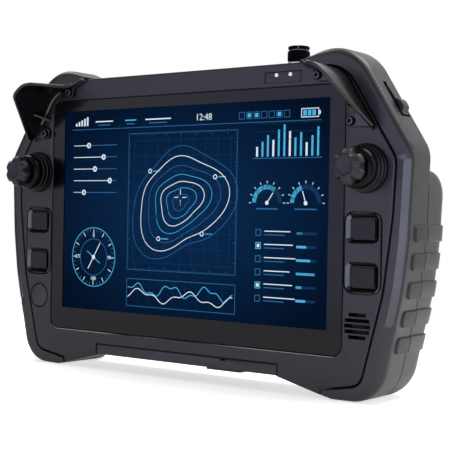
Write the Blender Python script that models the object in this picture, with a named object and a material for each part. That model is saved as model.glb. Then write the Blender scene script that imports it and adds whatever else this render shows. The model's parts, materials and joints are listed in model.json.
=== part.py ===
"""Hand-held data collector: landscape display, two control sticks, keys, hatch, knob and rear grips.

Everything is drawn in a device frame: X to the right, Y backwards from the front face, Z up from the
middle of the display. The root empty then stands the device on its two lobes, centred on the origin.
"""

import math

import bmesh
import bpy
from mathutils import Matrix, Vector

MM = 0.001
GAP = 0.3 * MM  # clearance between pieces that touch
CUT = 1.0 * MM  # how far a cutter runs past the face it opens
X = Vector((1, 0, 0))
Y = Vector((0, 1, 0))
Z = Vector((0, 0, 1))

# Display
ACTIVE_WIDTH = 216.96 * MM
ACTIVE_HEIGHT = 135.6 * MM
GLASS_SIDE_BORDER = 10.2 * MM
GLASS_TOP_BORDER = 7.2 * MM
GLASS_LOWER_BORDER = 14.2 * MM
GLASS_WIDTH = ACTIVE_WIDTH + 2 * GLASS_SIDE_BORDER
GLASS_TOP = ACTIVE_HEIGHT / 2 + GLASS_TOP_BORDER  # glass edge above the display centre
GLASS_BOTTOM = ACTIVE_HEIGHT / 2 + GLASS_LOWER_BORDER  # glass edge below the display centre
GLASS_CORNER = 6.0 * MM
GLASS_THICK = 1.6 * MM
GLASS_SINK = 0.5 * MM  # glass front behind the face
GLASS_SEAM = 0.4 * MM  # gap round the glass
GLASS_RIM = 0.6 * MM  # chamfer on the housing round the glass
GASKET_THICK = 0.5 * MM
GASKET_EDGE = 1.0 * MM  # gasket inside the glass edge
WINDOW_MARGIN = 3.0 * MM  # window beyond the active area
PANEL_LIP = 3.0 * MM  # module plate beyond the window
PANEL_THICK = 5.0 * MM

# Housing
LEDGE = 1.3 * MM  # plate left under the glass
FRONT_DEPTH = 22.0 * MM
WALL = 3.0 * MM
TOP_BAND = 14.0 * MM  # housing above the glass
CHIN = 15.1 * MM  # housing below the glass
LOBE_DROP = 10.1 * MM  # lobes below the chin
LOBE_RAMP = 40.5 * MM  # length of the ramp from chin to lobe
HOUSING_EDGE = 1.0 * MM
EDGE = GLASS_WIDTH / 2 + GLASS_SEAM
FOOT_END = EDGE - 6.6 * MM  # inner end of each flat foot
RAMP_ROUND = 15.0 * MM
TOP = GLASS_TOP + GLASS_SEAM + TOP_BAND
BOTTOM = GLASS_BOTTOM + GLASS_SEAM + CHIN
LOBE = BOTTOM + LOBE_DROP
POCKET_DEPTH = GLASS_SINK + GLASS_THICK + GAP + GASKET_THICK + GAP
PLATE = POCKET_DEPTH + LEDGE

# Seam between housing and bumper, right half, from the top end round to the foot: x, z, radius, steps
SEAM = [
    (EDGE - 30.0 * MM, TOP, 0, 0),
    (EDGE - 21.5 * MM, TOP - 4.0 * MM, 0, 0),
    (EDGE - 1.2 * MM, TOP - 4.0 * MM, 22 * MM, 5),
    (EDGE + 33.0 * MM, 31.7 * MM, 14 * MM, 3),
    (EDGE + 31.6 * MM, 0, 60 * MM, 1),
    (EDGE + 26.0 * MM, -45 * MM, 60 * MM, 1),
    (EDGE + 20.6 * MM, -66 * MM, 0, 0),
    (EDGE + 19.0 * MM, -72 * MM, 0, 0),
    (EDGE + 12.5 * MM, -BOTTOM, 9 * MM, 4),
    (EDGE - 6.0 * MM, -BOTTOM - 3.2 * MM, 0, 0),
    (EDGE - 12.8 * MM, -BOTTOM - 4.4 * MM, 0, 0),
]

# Outer edge of the bumper, point for point beside the seam
OUTER = [
    (EDGE - 30.0 * MM, TOP + 1.4 * MM, 0, 0),
    (EDGE - 23.0 * MM, TOP + 4.1 * MM, 0, 0),
    (EDGE + 1.1 * MM, TOP + 14.5 * MM, 29 * MM, 5),
    (EDGE + 43.9 * MM, 36.5 * MM, 18 * MM, 3),
    (EDGE + 41.5 * MM, -15 * MM, 150 * MM, 1),
    (EDGE + 37.9 * MM, -45 * MM, 120 * MM, 1),
    (EDGE + 33.2 * MM, -66 * MM, 0, 0),
    (EDGE + 31.8 * MM, -72 * MM, 0, 0),
    (EDGE + 23.9 * MM, -LOBE, 22 * MM, 4),
    (FOOT_END, -LOBE, 0, 0),
    (EDGE - 12.8 * MM, -LOBE + 1.55 * MM, 0, 0),
]
BUMPER_EDGE = 6.0 * MM  # round on the outer front edge
FACET_EDGE = 1.4 * MM  # the same round beside the facet
BUMPER_LIP = 0.9 * MM  # break on the edge at the seam
FACET_WIDTH = 4.1 * MM
FACET_DEPTH = 1.8 * MM
FACET_TOP = 35.0 * MM
FACET_END = -67.0 * MM
BUMPER_END = EDGE - 12.8 * MM  # inner end of the bumper under the lobe
NOTCH_GAP = 0.8 * MM  # dark notch at the lower end of the bumper
NOTCH_DROP = 4.5 * MM  # top of that notch below the chin
NOTCH_SLANT = 0.5 * MM

# Pads on the sides
PAD_LEVELS = [-10.2 * MM, -26.3 * MM, -42.6 * MM, -58.8 * MM, -74.2 * MM]
PAD_HEIGHT = 9.8 * MM
PAD_PROUD = 1.2 * MM
PAD_FRONT = 6.8 * MM  # front end behind the face
PAD_CORNER = 3.8 * MM

# Rear housing and grips
REAR_BACK = 40.0 * MM
REAR_INSET = 1.5 * MM  # step in from the bumper's outline
REAR_BEVEL = 4.0 * MM
REAR_TAPER = 9.5 * MM  # the ears and the top lean in by this much towards the back
REAR_FLOOR = 8.5 * MM  # solid left below the hollow
REAR_STEP = 0.5 * MM  # gap beside the grips
REAR_WALL = 4.0 * MM
GRIP_INNER = EDGE - 13.0 * MM
GRIP_TOP = 25.7 * MM
GRIP_BACK = 53.0 * MM
GRIP_STEP = 0.4 * MM  # step in from the bumper's side
GRIP_ROUND = 17.0 * MM
GRIP_INNER_ROUND = 8.0 * MM
GRIP_CROWN = 15.0 * MM  # height of the rounded top
GRIP_CROWN_BACK = 12.0 * MM  # how far the rounded top falls away
GRIP_CROWN_SIDE = 4.0 * MM
GRIP_HEEL = 17.6 * MM  # height of the rounded foot
GRIP_HEEL_BACK = 11.0 * MM

# Battery cover
COVER_WIDTH = 134.0 * MM
COVER_HEIGHT = 94.0 * MM
COVER_LEVEL = -8.0 * MM
COVER_THICK = 1.9 * MM
COVER_CORNER = 6.0 * MM
COVER_LEDGE = 6.0 * MM
COVER_EDGE = 0.5 * MM
BATTERY_FRONT = 23.0 * MM
BATTERY_EDGE = 1.5 * MM

# Control sticks
STICK_X = EDGE + 14.5 * MM
STICK_Z = 26.1 * MM
STICK_HOLE = 11.5 * MM
PIVOT_DEPTH = 10.0 * MM  # pivot behind the face
SHAFT_RADIUS = 2.6 * MM
SPIGOT_RADIUS = 2.0 * MM
SPIGOT_LENGTH = 4.6 * MM
BALL_RADIUS = 4.2 * MM
BOOT_HEIGHT = 13.4 * MM
BOOT_RADIUS = 14.2 * MM
BOOT_TOP_RADIUS = 8.6 * MM
BOOT_RINGS = 3
BOOT_FIRST = 1.6 * MM  # first crest above the face
BOOT_RING_PITCH = 2.0 * MM
BOOT_RING_DEPTH = 1.2 * MM
BOOT_TAPER = 0.4 * MM  # each ring is this much smaller
BOOT_WALL = 1.1 * MM
CAP_RADIUS = 10.5 * MM
CAP_TOP = 24.0 * MM  # cap front above the face
CAP_NECK = 6.4 * MM
CAP_LOBES = 6
CAP_NOTCH = 2.0 * MM
CAP_DISH = 4.6 * MM  # radius of the shallow dish in the cap's front
CAP_DISH_DEPTH = 0.6 * MM

# Gimbal
RING_INNER = 6.6 * MM
RING_OUTER = 9.0 * MM
RING_THICK = 4.0 * MM
FRAME_INNER = 10.8 * MM
FRAME_OUTER = 13.2 * MM
FRAME_FLANGE = 14.2 * MM
FRAME_FLANGE_THICK = 1.5 * MM
FRAME_BACK = 15.5 * MM
TRUNNION_RADIUS = 1.4 * MM
TRUNNION_CLEARANCE = 0.3 * MM

# Stick guards
GUARD_THICK = 2.2 * MM
GUARD_LIP = 0.6 * MM  # break on the free edge
GUARD_REACH = 33.0 * MM
GUARD_FLANGE = 1.6 * MM
GUARD_FLANGE_START = 10.0 * MM  # the foot begins this far along the path
GUARD_BARE_FOOT = 0.2 * MM
GUARD_FLANGE_THICK = 1.6 * MM
GUARD_TAB_THICK = 2.4 * MM
GUARD_TAB_RADIUS = 3.4 * MM
GUARD_LINE = TOP - 5.2 * MM  # middle of the wall along the top
GUARD_TOP_TAB = 8.4 * MM  # length of the top tab past its screw
GUARD_FALL = (0.537, -0.8435)  # direction of the corner's slanted side
GUARD_FALL_LENGTH = 41.6 * MM
GUARD_LEAN = 0.107  # the slanted side leans outwards by this share of its height
GUARD_PATH = [
    (EDGE - 29.5 * MM, GUARD_LINE + 5.0 * MM, 0, 0),
    (EDGE - 20.0 * MM, GUARD_LINE, 14 * MM, 2),
    (EDGE - 2.3 * MM, GUARD_LINE, 20 * MM, 6),
    (
        EDGE - 2.3 * MM + GUARD_FALL[0] * GUARD_FALL_LENGTH,
        GUARD_LINE + GUARD_FALL[1] * GUARD_FALL_LENGTH,
        0,
        0,
    ),
]
# Free edge of the guard, unrolled: distance along the path, height, radius, steps
GUARD_RISE = [
    (0, 4.2 * MM, 0, 0),
    (11.0 * MM, 6.0 * MM, 8 * MM, 2),
    (23.0 * MM, GUARD_REACH, 7 * MM, 4),
    (37.5 * MM, GUARD_REACH, 8 * MM, 4),
    (67.5 * MM, 5.4 * MM, 0, 0),
]

GUSSET_PLACE = 21.3 * MM  # down the slanted side from the corner
GUSSET_REACH = 7.9 * MM
GUSSET_RISE = 11.5 * MM
GUSSET_TOE = 0.8 * MM
GUSSET_THICK = 1.3 * MM

# Screws
SCREW_HEAD = 2.2 * MM
SCREW_HEAD_THICK = 1.8 * MM
SCREW_SHANK = 1.2 * MM
SCREW_HOLE = 1.55 * MM
SCREW_SOCKET = 1.2 * MM
SCREW_SOCKET_DEPTH = 0.9 * MM
SCREW_BREAK = 0.3 * MM  # break on the rim of the head
SCREW_SIDES = 8
GUARD_TOP_SCREW = (EDGE - 17.6 * MM, GUARD_LINE - GUARD_THICK / 2 - SCREW_HEAD - GAP)
GUARD_SIDE_SCREW = (EDGE + 5.4 * MM, 53.0 * MM)
HOUSING_SCREWS = [
    (EDGE - 29.0 * MM, TOP - 22.0 * MM),
    (EDGE + 14.0 * MM, 44.0 * MM),
    (EDGE - 24.0 * MM, -BOTTOM + 10.0 * MM),
]
HOUSING_SCREW_LENGTH = 3.4 * MM
COUNTERBORE = 2.9 * MM  # radius of the pocket round a housing screw

# Keys
BEZEL_X = EDGE + 13.1 * MM
BEZEL_Z = -22.0 * MM
BEZEL_WIDTH = 23.6 * MM
BEZEL_HEIGHT = 46.0 * MM
BEZEL_CORNER = 5.5 * MM
BEZEL_PROUD = 0.6 * MM
BEZEL_SINK = 2.0 * MM
BEZEL_EDGE = 0.5 * MM
WELL_CHAMFER = 2.2 * MM
WELL_SLOPE = 1.6 * MM  # depth of the chamfer
BEZEL_SEAM = 0.9 * MM  # groove round the bezel
KEY_WIDTH = 16.0 * MM
KEY_HEIGHT = 11.6 * MM
KEY_CORNER = 1.6 * MM
KEY_SPACING = BEZEL_HEIGHT - 18.4 * MM
KEY_CLEARANCE = 0.6 * MM
KEY_PROUD = 0.3 * MM
KEY_BODY = 1.2 * MM  # thickness of the key's head
KEY_EDGE = 0.4 * MM
KEY_TRAVEL = 1.2 * MM
STEM_WIDTH = 8.0 * MM
STEM_HEIGHT = 6.0 * MM
BOARD_THICK = 1.6 * MM
KEY_BOARD_WIDTH = 18.0 * MM
ROUND_KEY_X = EDGE + 12.0 * MM
ROUND_KEY_Z = -60.7 * MM
ROUND_KEY_RADIUS = 8.0 * MM
ROUND_KEY_CLEARANCE = 0.4 * MM
ROUND_KEY_CROWN = 0.15 * MM

# Shoulder keys, on the slanted side of the bumper
SHOULDER_PLACE = 0.56  # along the straight between the two outer corners
SHOULDER_Y = 14.3 * MM
SHOULDER_LENGTH = 22.4 * MM
SHOULDER_WIDTH = 8.8 * MM
SHOULDER_CORNER = 2.6 * MM
SHOULDER_DEEP = 3.6 * MM
SHOULDER_PROUD = 0.8 * MM
SHOULDER_HUMP = 3.2 * MM
SHOULDER_TRAVEL = 1.2 * MM

# Speaker
SPEAKER_X = EDGE + 10.3 * MM
SPEAKER_Z = -63.9 * MM
SPEAKER_RADIUS = 7.0 * MM
SPEAKER_THICK = 4.0 * MM
CONE_DEPTH = 1.2 * MM
SLOT_LENGTHS = [11.5 * MM, 16.4 * MM, 17.4 * MM, 16.4 * MM, 11.5 * MM]
SLOT_PITCH = 3.2 * MM
SLOT_HEIGHT = 2.2 * MM

# Indicators
INDICATOR_X = EDGE - 44.0 * MM
INDICATOR_Z = TOP - 8.4 * MM
INDICATOR_WIDTH = 25.6 * MM
INDICATOR_HEIGHT = 6.2 * MM
INDICATOR_DEPTH = 1.0 * MM
INDICATOR_CORNER = 1.0 * MM
LENS_SPACING = 10.1 * MM
LENS_OFFSET = 1.7 * MM  # lenses above the middle of the window
LENS_RADIUS = 1.2 * MM
LENS_DOME = [(0, -0.25 * MM), (0.7 * LENS_RADIUS, -0.1 * MM), (LENS_RADIUS, 0.2 * MM)]  # radius, depth
WINDOW_SINK = 0.1 * MM  # window front behind the face

# Hatch under the display
HATCH_WIDTH = 2 * (EDGE - 45.1 * MM)
HATCH_LIP = 6.4 * MM  # height on the front face
HATCH_THICK = 2.4 * MM
HATCH_DEEP = 16.0 * MM  # front face to hinge axis
HATCH_CLEARANCE = 0.6 * MM
HATCH_FACE = 0.15 * MM  # hatch front behind the face
HATCH_LOW = 0.1 * MM  # hatch underside above the chin
BAY_RISE = 2.0 * MM  # bay above the hatch's lip
BAY_ROOF = 2.7 * MM
PIN_RADIUS = 0.7 * MM
PIN_CLEARANCE = 0.3 * MM
PIN_REACH = 2.4 * MM  # pin into each cheek
TAB_X = 33.5 * MM
TAB_WIDTH = 27.0 * MM
TAB_DROP = 1.1 * MM
TAB_DEEP = 9.0 * MM
TAB_NOTCH = 3.6 * MM
TAB_CORNER = 1.5 * MM
TAB_SINK = 0.1 * MM  # tab behind the hatch front
PORT_X = [-30.0 * MM, 0.0, 30.0 * MM]
PORT_WIDTH = 9.0 * MM
PORT_HEIGHT = 3.2 * MM
PORT_SHELL = 0.7 * MM
PORT_Y = 9.5 * MM
PORT_BLOCK_DEEP = 9.0 * MM
PORT_BLOCK_HIGH = 5.0 * MM

# Top knob
KNOB_X = EDGE - 41.3 * MM
KNOB_Y = 12.5 * MM
KNOB_RADIUS = 6.8 * MM
KNOB_HEIGHT = 9.2 * MM
KNOB_RIDGES = 18
KNOB_RIDGE = 0.35 * MM
KNOB_GROOVE = 0.8 * MM  # depth of the groove under the top
KNOB_BREAK = 0.6 * MM
COLLAR_THICK = 1.5 * MM
ENCODER_SHAFT = 3.0 * MM
ENCODER_BUSH = 3.5 * MM
ENCODER_SIZE = 11.0 * MM
ENCODER_HIGH = 6.0 * MM

# Main board
MAIN_BOARD_WIDTH = 170.0 * MM
MAIN_BOARD_HEIGHT = 100.0 * MM
SHIELD_WIDTH = 90.0 * MM
SHIELD_HEIGHT = 55.0 * MM
SHIELD_THICK = 2.6 * MM


def srgb(code):
    """Turn a hex colour into linear values."""
    values = [int(code[i : i + 2], 16) / 255 for i in (0, 2, 4)]
    return [v / 12.92 if v <= 0.04045 else ((v + 0.055) / 1.055) ** 2.4 for v in values]


def material(name, code, roughness, metallic=0.0):
    made = bpy.data.materials.new(name)
    made.use_nodes = True
    shader = made.node_tree.nodes["Principled BSDF"]
    shader.inputs["Base Color"].default_value = (*srgb(code), 1)
    shader.inputs["Roughness"].default_value = roughness
    shader.inputs["Metallic"].default_value = metallic
    return made


# Paths and outlines


def rounded_path(corners):
    """Follow corners (x, z, radius, steps) and turn each one with an arc."""
    points = []
    for i, (x, z, radius, steps) in enumerate(corners):
        corner = Vector((x, z))
        if radius == 0:
            points.append(corner)
            continue
        back = (Vector(corners[i - 1][:2]) - corner).normalized()
        ahead = (Vector(corners[(i + 1) % len(corners)][:2]) - corner).normalized()
        half = back.angle(ahead) / 2
        centre = corner + (back + ahead).normalized() * radius / math.sin(half)
        start = corner + back * radius / math.tan(half) - centre
        turn = math.copysign(math.pi - 2 * half, ahead.x * back.y - ahead.y * back.x)
        count = int(steps)
        for k in range(count + 1):
            points.append(centre + Matrix.Rotation(turn * k / count, 2) @ start)
    return points


def rectangle(width, height, radius=0, steps=3, x=0, z=0):
    w, h = width / 2, height / 2
    corners = [(x - w, z - h), (x + w, z - h), (x + w, z + h), (x - w, z + h)]
    return rounded_path([(*corner, radius, steps) for corner in corners])


def circle(radius, sides):
    turns = [2 * math.pi * i / sides for i in range(sides)]
    return [Vector((radius * math.cos(a), radius * math.sin(a))) for a in turns]


def shifted(path, distance, closed=False):
    """Move a path to its left by a distance."""
    ends = path[1:] + path[:1] if closed else path[1:]
    normals = []
    for a, b in zip(path, ends):
        along = (b - a).normalized()
        normals.append(Vector((-along.y, along.x)))
    moved = []
    for i, point in enumerate(path):
        first = normals[i - 1] if closed else normals[max(i - 1, 0)]
        mitre = (first + normals[min(i, len(normals) - 1)]).normalized()
        moved.append(point + mitre * distance / mitre.dot(first))
    return moved


def mirrored(half):
    """Close the right half of an outline with its mirror image."""
    return half + [Vector((-p.x, p.y)) for p in reversed(half)]


def distances(path):
    total = [0.0]
    for a, b in zip(path, path[1:]):
        total.append(total[-1] + (b - a).length)
    return total


def point_along(path, distance):
    """Point and left-hand normal of a path at a distance from its start."""
    total = distances(path)
    i = next((k for k in range(len(path) - 2) if total[k + 1] > distance), len(path) - 2)
    along = (path[i + 1] - path[i]).normalized()
    return path[i] + along * (distance - total[i]), Vector((-along.y, along.x))


def side_at(path, z):
    """Point and outward normal where a path that runs down the right side crosses a level."""
    for a, b in zip(path, path[1:]):
        if a.y >= z >= b.y and a.y > b.y:
            along = (b - a).normalized()
            return a.lerp(b, (a.y - z) / (a.y - b.y)), Vector((-along.y, along.x))
    return path[-1], Vector((1, 0))


# Solids


def axes(origin, u, v, w):
    return Matrix.Translation(origin) @ Matrix((u, v, w)).transposed().to_4x4()


def inward(x=0, z=0):
    """Frame on the front face whose third axis runs into the device."""
    return axes(Vector((x, 0, z)), X, Z, Y)


def outward(x=0, z=0, y=0):
    """Frame whose third axis runs out of the front face."""
    return axes(Vector((x, y, z)), X, Z, -Y)


def upward(x=0, y=0, z=0):
    return axes(Vector((x, y, z)), X, Y, Z)


def skin(rings, closed=False):
    """Join rings of points into one closed body, capped at both ends or closed on itself."""
    bm = bmesh.new()
    loops = [[bm.verts.new(p) for p in ring] for ring in rings]
    pairs = list(zip(loops, loops[1:] + loops[:1])) if closed else list(zip(loops, loops[1:]))
    for a, b in pairs:
        for i in range(len(a)):
            j = (i + 1) % len(a)
            bm.faces.new((a[i], a[j], b[j], b[i]))
    if not closed:
        bm.faces.new(loops[0])
        bm.faces.new(loops[-1])
    bmesh.ops.recalc_face_normals(bm, faces=bm.faces)
    return bm


def loft(sections, frame):
    """Skin over outlines (points, height), read in a frame."""
    return skin([[frame @ Vector((p[0], p[1], w)) for p in points] for points, w in sections])


def prism(outline, low, high, frame):
    return loft([(outline, low), (outline, high)], frame)


def turned(profile, sides, frame, hollow=False):
    """Spin a profile of (radius, height) about a frame's third axis."""
    bm = bmesh.new()
    verts = [bm.verts.new((r, 0, h)) for r, h in profile]
    chain = list(zip(verts, verts[1:] + verts[:1])) if hollow else list(zip(verts, verts[1:]))
    edges = [bm.edges.new(pair) for pair in chain]
    turn = {"cent": (0, 0, 0), "axis": (0, 0, 1), "angle": 2 * math.pi}
    bmesh.ops.spin(bm, geom=verts + edges, steps=sides, use_merge=True, **turn)
    bmesh.ops.remove_doubles(bm, verts=bm.verts, dist=0.001 * MM)
    bmesh.ops.recalc_face_normals(bm, faces=bm.faces)
    bmesh.ops.transform(bm, matrix=frame, verts=bm.verts)
    bmesh.ops.recalc_face_normals(bm, faces=bm.faces)
    return bm


def rod(radius, low, high, sides, frame):
    return prism(circle(radius, sides), low, high, frame)


def bevel(bm, width, segments, test):
    """Round the edges whose two ends both pass a test."""
    edges = [e for e in bm.edges if all(test(v.co) for v in e.verts)]
    bmesh.ops.bevel(
        bm, geom=edges, offset=width, segments=segments, profile=0.5, affect="EDGES", clamp_overlap=True
    )


def body(name, bm):
    mesh = bpy.data.meshes.new(name)
    bm.to_mesh(mesh)
    bm.free()
    made = bpy.data.objects.new(name, mesh)
    bpy.context.scene.collection.objects.link(made)
    return made


def combine(target, tools, operation):
    """Cut tools from a body or join them to it, then remove the tools."""
    for bm in tools:
        tool = body("tool", bm)
        modifier = target.modifiers.new("combine", "BOOLEAN")
        modifier.operation = operation
        modifier.solver = "EXACT"
        modifier.object = tool
        bpy.context.view_layer.update()
        graph = bpy.context.evaluated_depsgraph_get()
        mesh = bpy.data.meshes.new_from_object(target.evaluated_get(graph))
        target.modifiers.clear()
        target.data = mesh
        bpy.data.objects.remove(tool)
    return target


def cut(target, *tools):
    return combine(target, tools, "DIFFERENCE")


def join(target, *tools):
    return combine(target, tools, "UNION")


def finish(made, name, finish_material, origin=(0, 0, 0)):
    """Name a body, give it its material, and put its origin on its joint."""
    made.name = name
    mesh = made.data
    mesh.name = name
    mesh.materials.clear()
    mesh.materials.append(finish_material)
    for polygon in mesh.polygons:
        polygon.material_index = 0
    mesh.transform(Matrix.Translation(-Vector(origin)))
    mesh.shade_smooth()
    mesh.set_sharp_from_angle(angle=math.radians(35))
    made.location = origin
    made.parent = ROOT
    return made


# Housing and bumpers


def glass_outline(grow=0.0):
    height = GLASS_TOP + GLASS_BOTTOM + 2 * grow
    middle = (GLASS_TOP - GLASS_BOTTOM) / 2
    return rectangle(GLASS_WIDTH + 2 * grow, height, GLASS_CORNER + grow, 4, z=middle)


def ramp_level(x):
    """Height of the ramp from chin to lobe at a place along it."""
    return -LOBE + (FOOT_END - x) * LOBE_DROP / LOBE_RAMP


def housing_outline(seam):
    notch = BUMPER_END - NOTCH_GAP
    foot = notch - NOTCH_SLANT
    chin = rounded_path(
        [
            (notch, -BOTTOM - NOTCH_DROP, 0, 0),
            (foot, ramp_level(foot), 0, 0),
            (FOOT_END - LOBE_RAMP, -BOTTOM, RAMP_ROUND, 2),
            (0, -BOTTOM, 0, 0),
        ]
    )
    return mirrored(seam + chin[:-1])


def cavity_outline(seam):
    floor = -(BOTTOM - HATCH_LIP - BAY_RISE - BAY_ROOF)
    inner = shifted(seam, -WALL)
    corner = side_at(inner, floor)[0]
    return mirrored([p for p in inner if p.y > floor] + [corner])


def window(grow=0.0):
    spread = 2 * (WINDOW_MARGIN + grow)
    return rectangle(ACTIVE_WIDTH + spread, ACTIVE_HEIGHT + spread)


def key_places():
    return [BEZEL_Z + KEY_SPACING / 2, BEZEL_Z - KEY_SPACING / 2]


def hatch_section():
    """Right-angled section of the hatch in (y, z), rounded about its hinge axis."""
    low = -BOTTOM + HATCH_LOW
    inner = low + HATCH_THICK
    knuckle = HATCH_THICK / 2
    centre = Vector((HATCH_DEEP, low + knuckle))
    arc = [centre + Matrix.Rotation(a, 2) @ Vector((0, knuckle)) for a in knuckle_turns()]
    return [
        Vector((HATCH_FACE, low)),
        Vector((HATCH_FACE, -BOTTOM + HATCH_LIP)),
        Vector((HATCH_THICK, -BOTTOM + HATCH_LIP)),
        Vector((HATCH_THICK, inner)),
    ] + arc


def knuckle_turns():
    return [-math.pi * k / 6 for k in range(7)]


def hinge_axis():
    return HATCH_DEEP, -BOTTOM + HATCH_LOW + HATCH_THICK / 2


def across(x=0):
    """Frame whose outline lies in (y, z) and whose third axis runs along X."""
    return axes(Vector((x, 0, 0)), Y, Z, X)


def bay_cutters():
    """Notch for the hatch, the bay above it, and the holes for its pin."""
    half = HATCH_WIDTH / 2 + HATCH_CLEARANCE
    back = HATCH_DEEP + HATCH_THICK / 2 + HATCH_CLEARANCE
    lip = -BOTTOM + HATCH_LIP + HATCH_CLEARANCE
    roof = -BOTTOM + HATCH_LIP + BAY_RISE
    step = HATCH_THICK + HATCH_CLEARANCE
    low = -BOTTOM - CUT
    section = [(-CUT, low), (-CUT, lip), (step, lip), (step, roof), (back, roof), (back, low)]
    y, z = hinge_axis()
    reach = half + PIN_REACH
    pin = rod(PIN_RADIUS + PIN_CLEARANCE, -reach, reach, 8, across() @ Matrix.Translation((y, z, 0)))
    return prism([Vector(p) for p in section], -half, half, across()), pin


def port_cutters():
    roof = -BOTTOM + HATCH_LIP + BAY_RISE
    outline = rectangle(PORT_WIDTH + 2 * GAP, PORT_HEIGHT + 2 * GAP)
    return [prism(outline, roof - CUT, roof + BAY_ROOF + CUT, upward(x, PORT_Y)) for x in PORT_X]


def build_front_housing(seam):
    shell = prism(housing_outline(seam), 0, FRONT_DEPTH, inward())
    bevel(shell, HOUSING_EDGE, 2, lambda co: co.y < 0.01 * MM)
    made = body("front_housing", shell)
    cut(made, prism(cavity_outline(seam), PLATE, FRONT_DEPTH + CUT, inward()))
    rim = GLASS_SEAM + GLASS_RIM
    pocket = [(glass_outline(rim + CUT), -CUT), (glass_outline(GLASS_SEAM), GLASS_RIM)]
    cut(made, loft(pocket + [(glass_outline(GLASS_SEAM), POCKET_DEPTH)], inward()))
    cut(made, prism(window(), POCKET_DEPTH - CUT, PLATE + CUT, inward()))
    grow = 2 * BEZEL_SEAM
    bezel = rectangle(BEZEL_WIDTH + grow, BEZEL_HEIGHT + grow, BEZEL_CORNER + BEZEL_SEAM, 3)
    stem = rectangle(STEM_WIDTH + 2 * KEY_CLEARANCE, STEM_HEIGHT + 2 * KEY_CLEARANCE)
    for side in (-1, 1):
        cut(made, rod(STICK_HOLE, -CUT, PLATE + CUT, 20, inward(side * STICK_X, STICK_Z)))
        cut(made, prism(bezel, -CUT, BEZEL_SINK + GAP, inward(side * BEZEL_X, BEZEL_Z)))
        for z in key_places():
            cut(made, prism(stem, -CUT, PLATE + CUT, inward(side * BEZEL_X, z)))
        for x, z in (GUARD_TOP_SCREW, GUARD_SIDE_SCREW):
            cut(made, rod(SCREW_HOLE, -CUT, PLATE + CUT, 10, inward(side * x, z)))
    well = KEY_BODY + KEY_TRAVEL + GAP
    spot = inward(-ROUND_KEY_X, ROUND_KEY_Z)
    cut(made, rod(ROUND_KEY_RADIUS + ROUND_KEY_CLEARANCE, -CUT, well, 24, spot))
    cut(made, rod(STEM_HEIGHT / 2 + KEY_CLEARANCE, -CUT, PLATE + CUT, 12, spot))
    for i, length in enumerate(SLOT_LENGTHS):
        level = SPEAKER_Z + SLOT_PITCH * ((len(SLOT_LENGTHS) - 1) / 2 - i)
        slot = rectangle(length, SLOT_HEIGHT)
        cut(made, prism(slot, -CUT, PLATE + 0.1 * MM, inward(SPEAKER_X, level)))
    recess = rectangle(INDICATOR_WIDTH + 2 * GAP, INDICATOR_HEIGHT + 2 * GAP, INDICATOR_CORNER, 2)
    cut(made, prism(recess, -CUT, INDICATOR_DEPTH, inward(INDICATOR_X, INDICATOR_Z)))
    cut(made, rod(ENCODER_BUSH + GAP, TOP - WALL - CUT, TOP + CUT, 16, upward(KNOB_X, KNOB_Y)))
    cut(made, *bay_cutters())
    cut(made, *port_cutters())
    return finish(made, "front_housing", HOUSING_PLASTIC)


def bumper_section(outer, inner):
    """Section from the outer side, round the front edge and over the facet, to the seam."""
    across_face = inner - outer
    width = across_face.length
    across_face.normalize()
    faceted = FACET_END <= outer.y <= FACET_TOP
    facet = FACET_DEPTH if faceted else 0
    edge = min(FACET_EDGE if faceted else BUMPER_EDGE, 0.42 * width)
    slope = min(FACET_WIDTH, 0.4 * width)
    lip = min(BUMPER_LIP, 0.1 * width)
    near = 1 - math.sqrt(0.5)
    profile = [
        (0, FRONT_DEPTH),
        (0, facet + edge),
        (near * edge, facet + near * edge),
        (edge, facet),
        (edge + slope, 0),
        (width - lip, 0),
        (width, lip),
        (width, FRONT_DEPTH),
    ]
    return [(outer + across_face * n, y) for n, y in profile]


def side_frame(side, point, normal, y):
    """Frame on the device's side: along the side, backwards, then straight out."""
    out = Vector((side * normal.x, 0, normal.y))
    down = Vector((side * normal.y, 0, -normal.x))
    return axes(Vector((side * point.x, y, point.y)), down, Y, out)


def shoulder_place():
    a, b = Vector(OUTER[2][:2]), Vector(OUTER[3][:2])
    along = (b - a).normalized()
    return a.lerp(b, SHOULDER_PLACE), Vector((-along.y, along.x))


def build_bumper(side, label, seam, outer):
    inner = shifted(seam, GAP)
    rings = []
    for a, b in zip(outer, inner):
        rings.append([(side * p.x, y, p.y) for p, y in bumper_section(a, b)])
    made = body(label + "_bumper", skin(rings))
    tongue = rounded_path(
        [
            (-PAD_HEIGHT / 2, PAD_FRONT, PAD_CORNER, 3),
            (PAD_HEIGHT / 2, PAD_FRONT, PAD_CORNER, 3),
            (PAD_HEIGHT / 2, FRONT_DEPTH, 0, 0),
            (-PAD_HEIGHT / 2, FRONT_DEPTH, 0, 0),
        ]
    )
    for z in PAD_LEVELS:
        point, normal = side_at(outer, z)
        join(made, prism(tongue, -PAD_PROUD, PAD_PROUD, side_frame(side, point, normal, 0)))
    slot = rectangle(SHOULDER_LENGTH + 2 * GAP, SHOULDER_WIDTH + 2 * GAP, SHOULDER_CORNER, 3)
    point, normal = shoulder_place()
    depth = SHOULDER_DEEP + SHOULDER_TRAVEL + GAP
    cut(made, prism(slot, -depth, CUT, side_frame(side, point, normal, SHOULDER_Y)))
    return finish(made, label + "_bumper", BUMPER_RUBBER)


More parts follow.
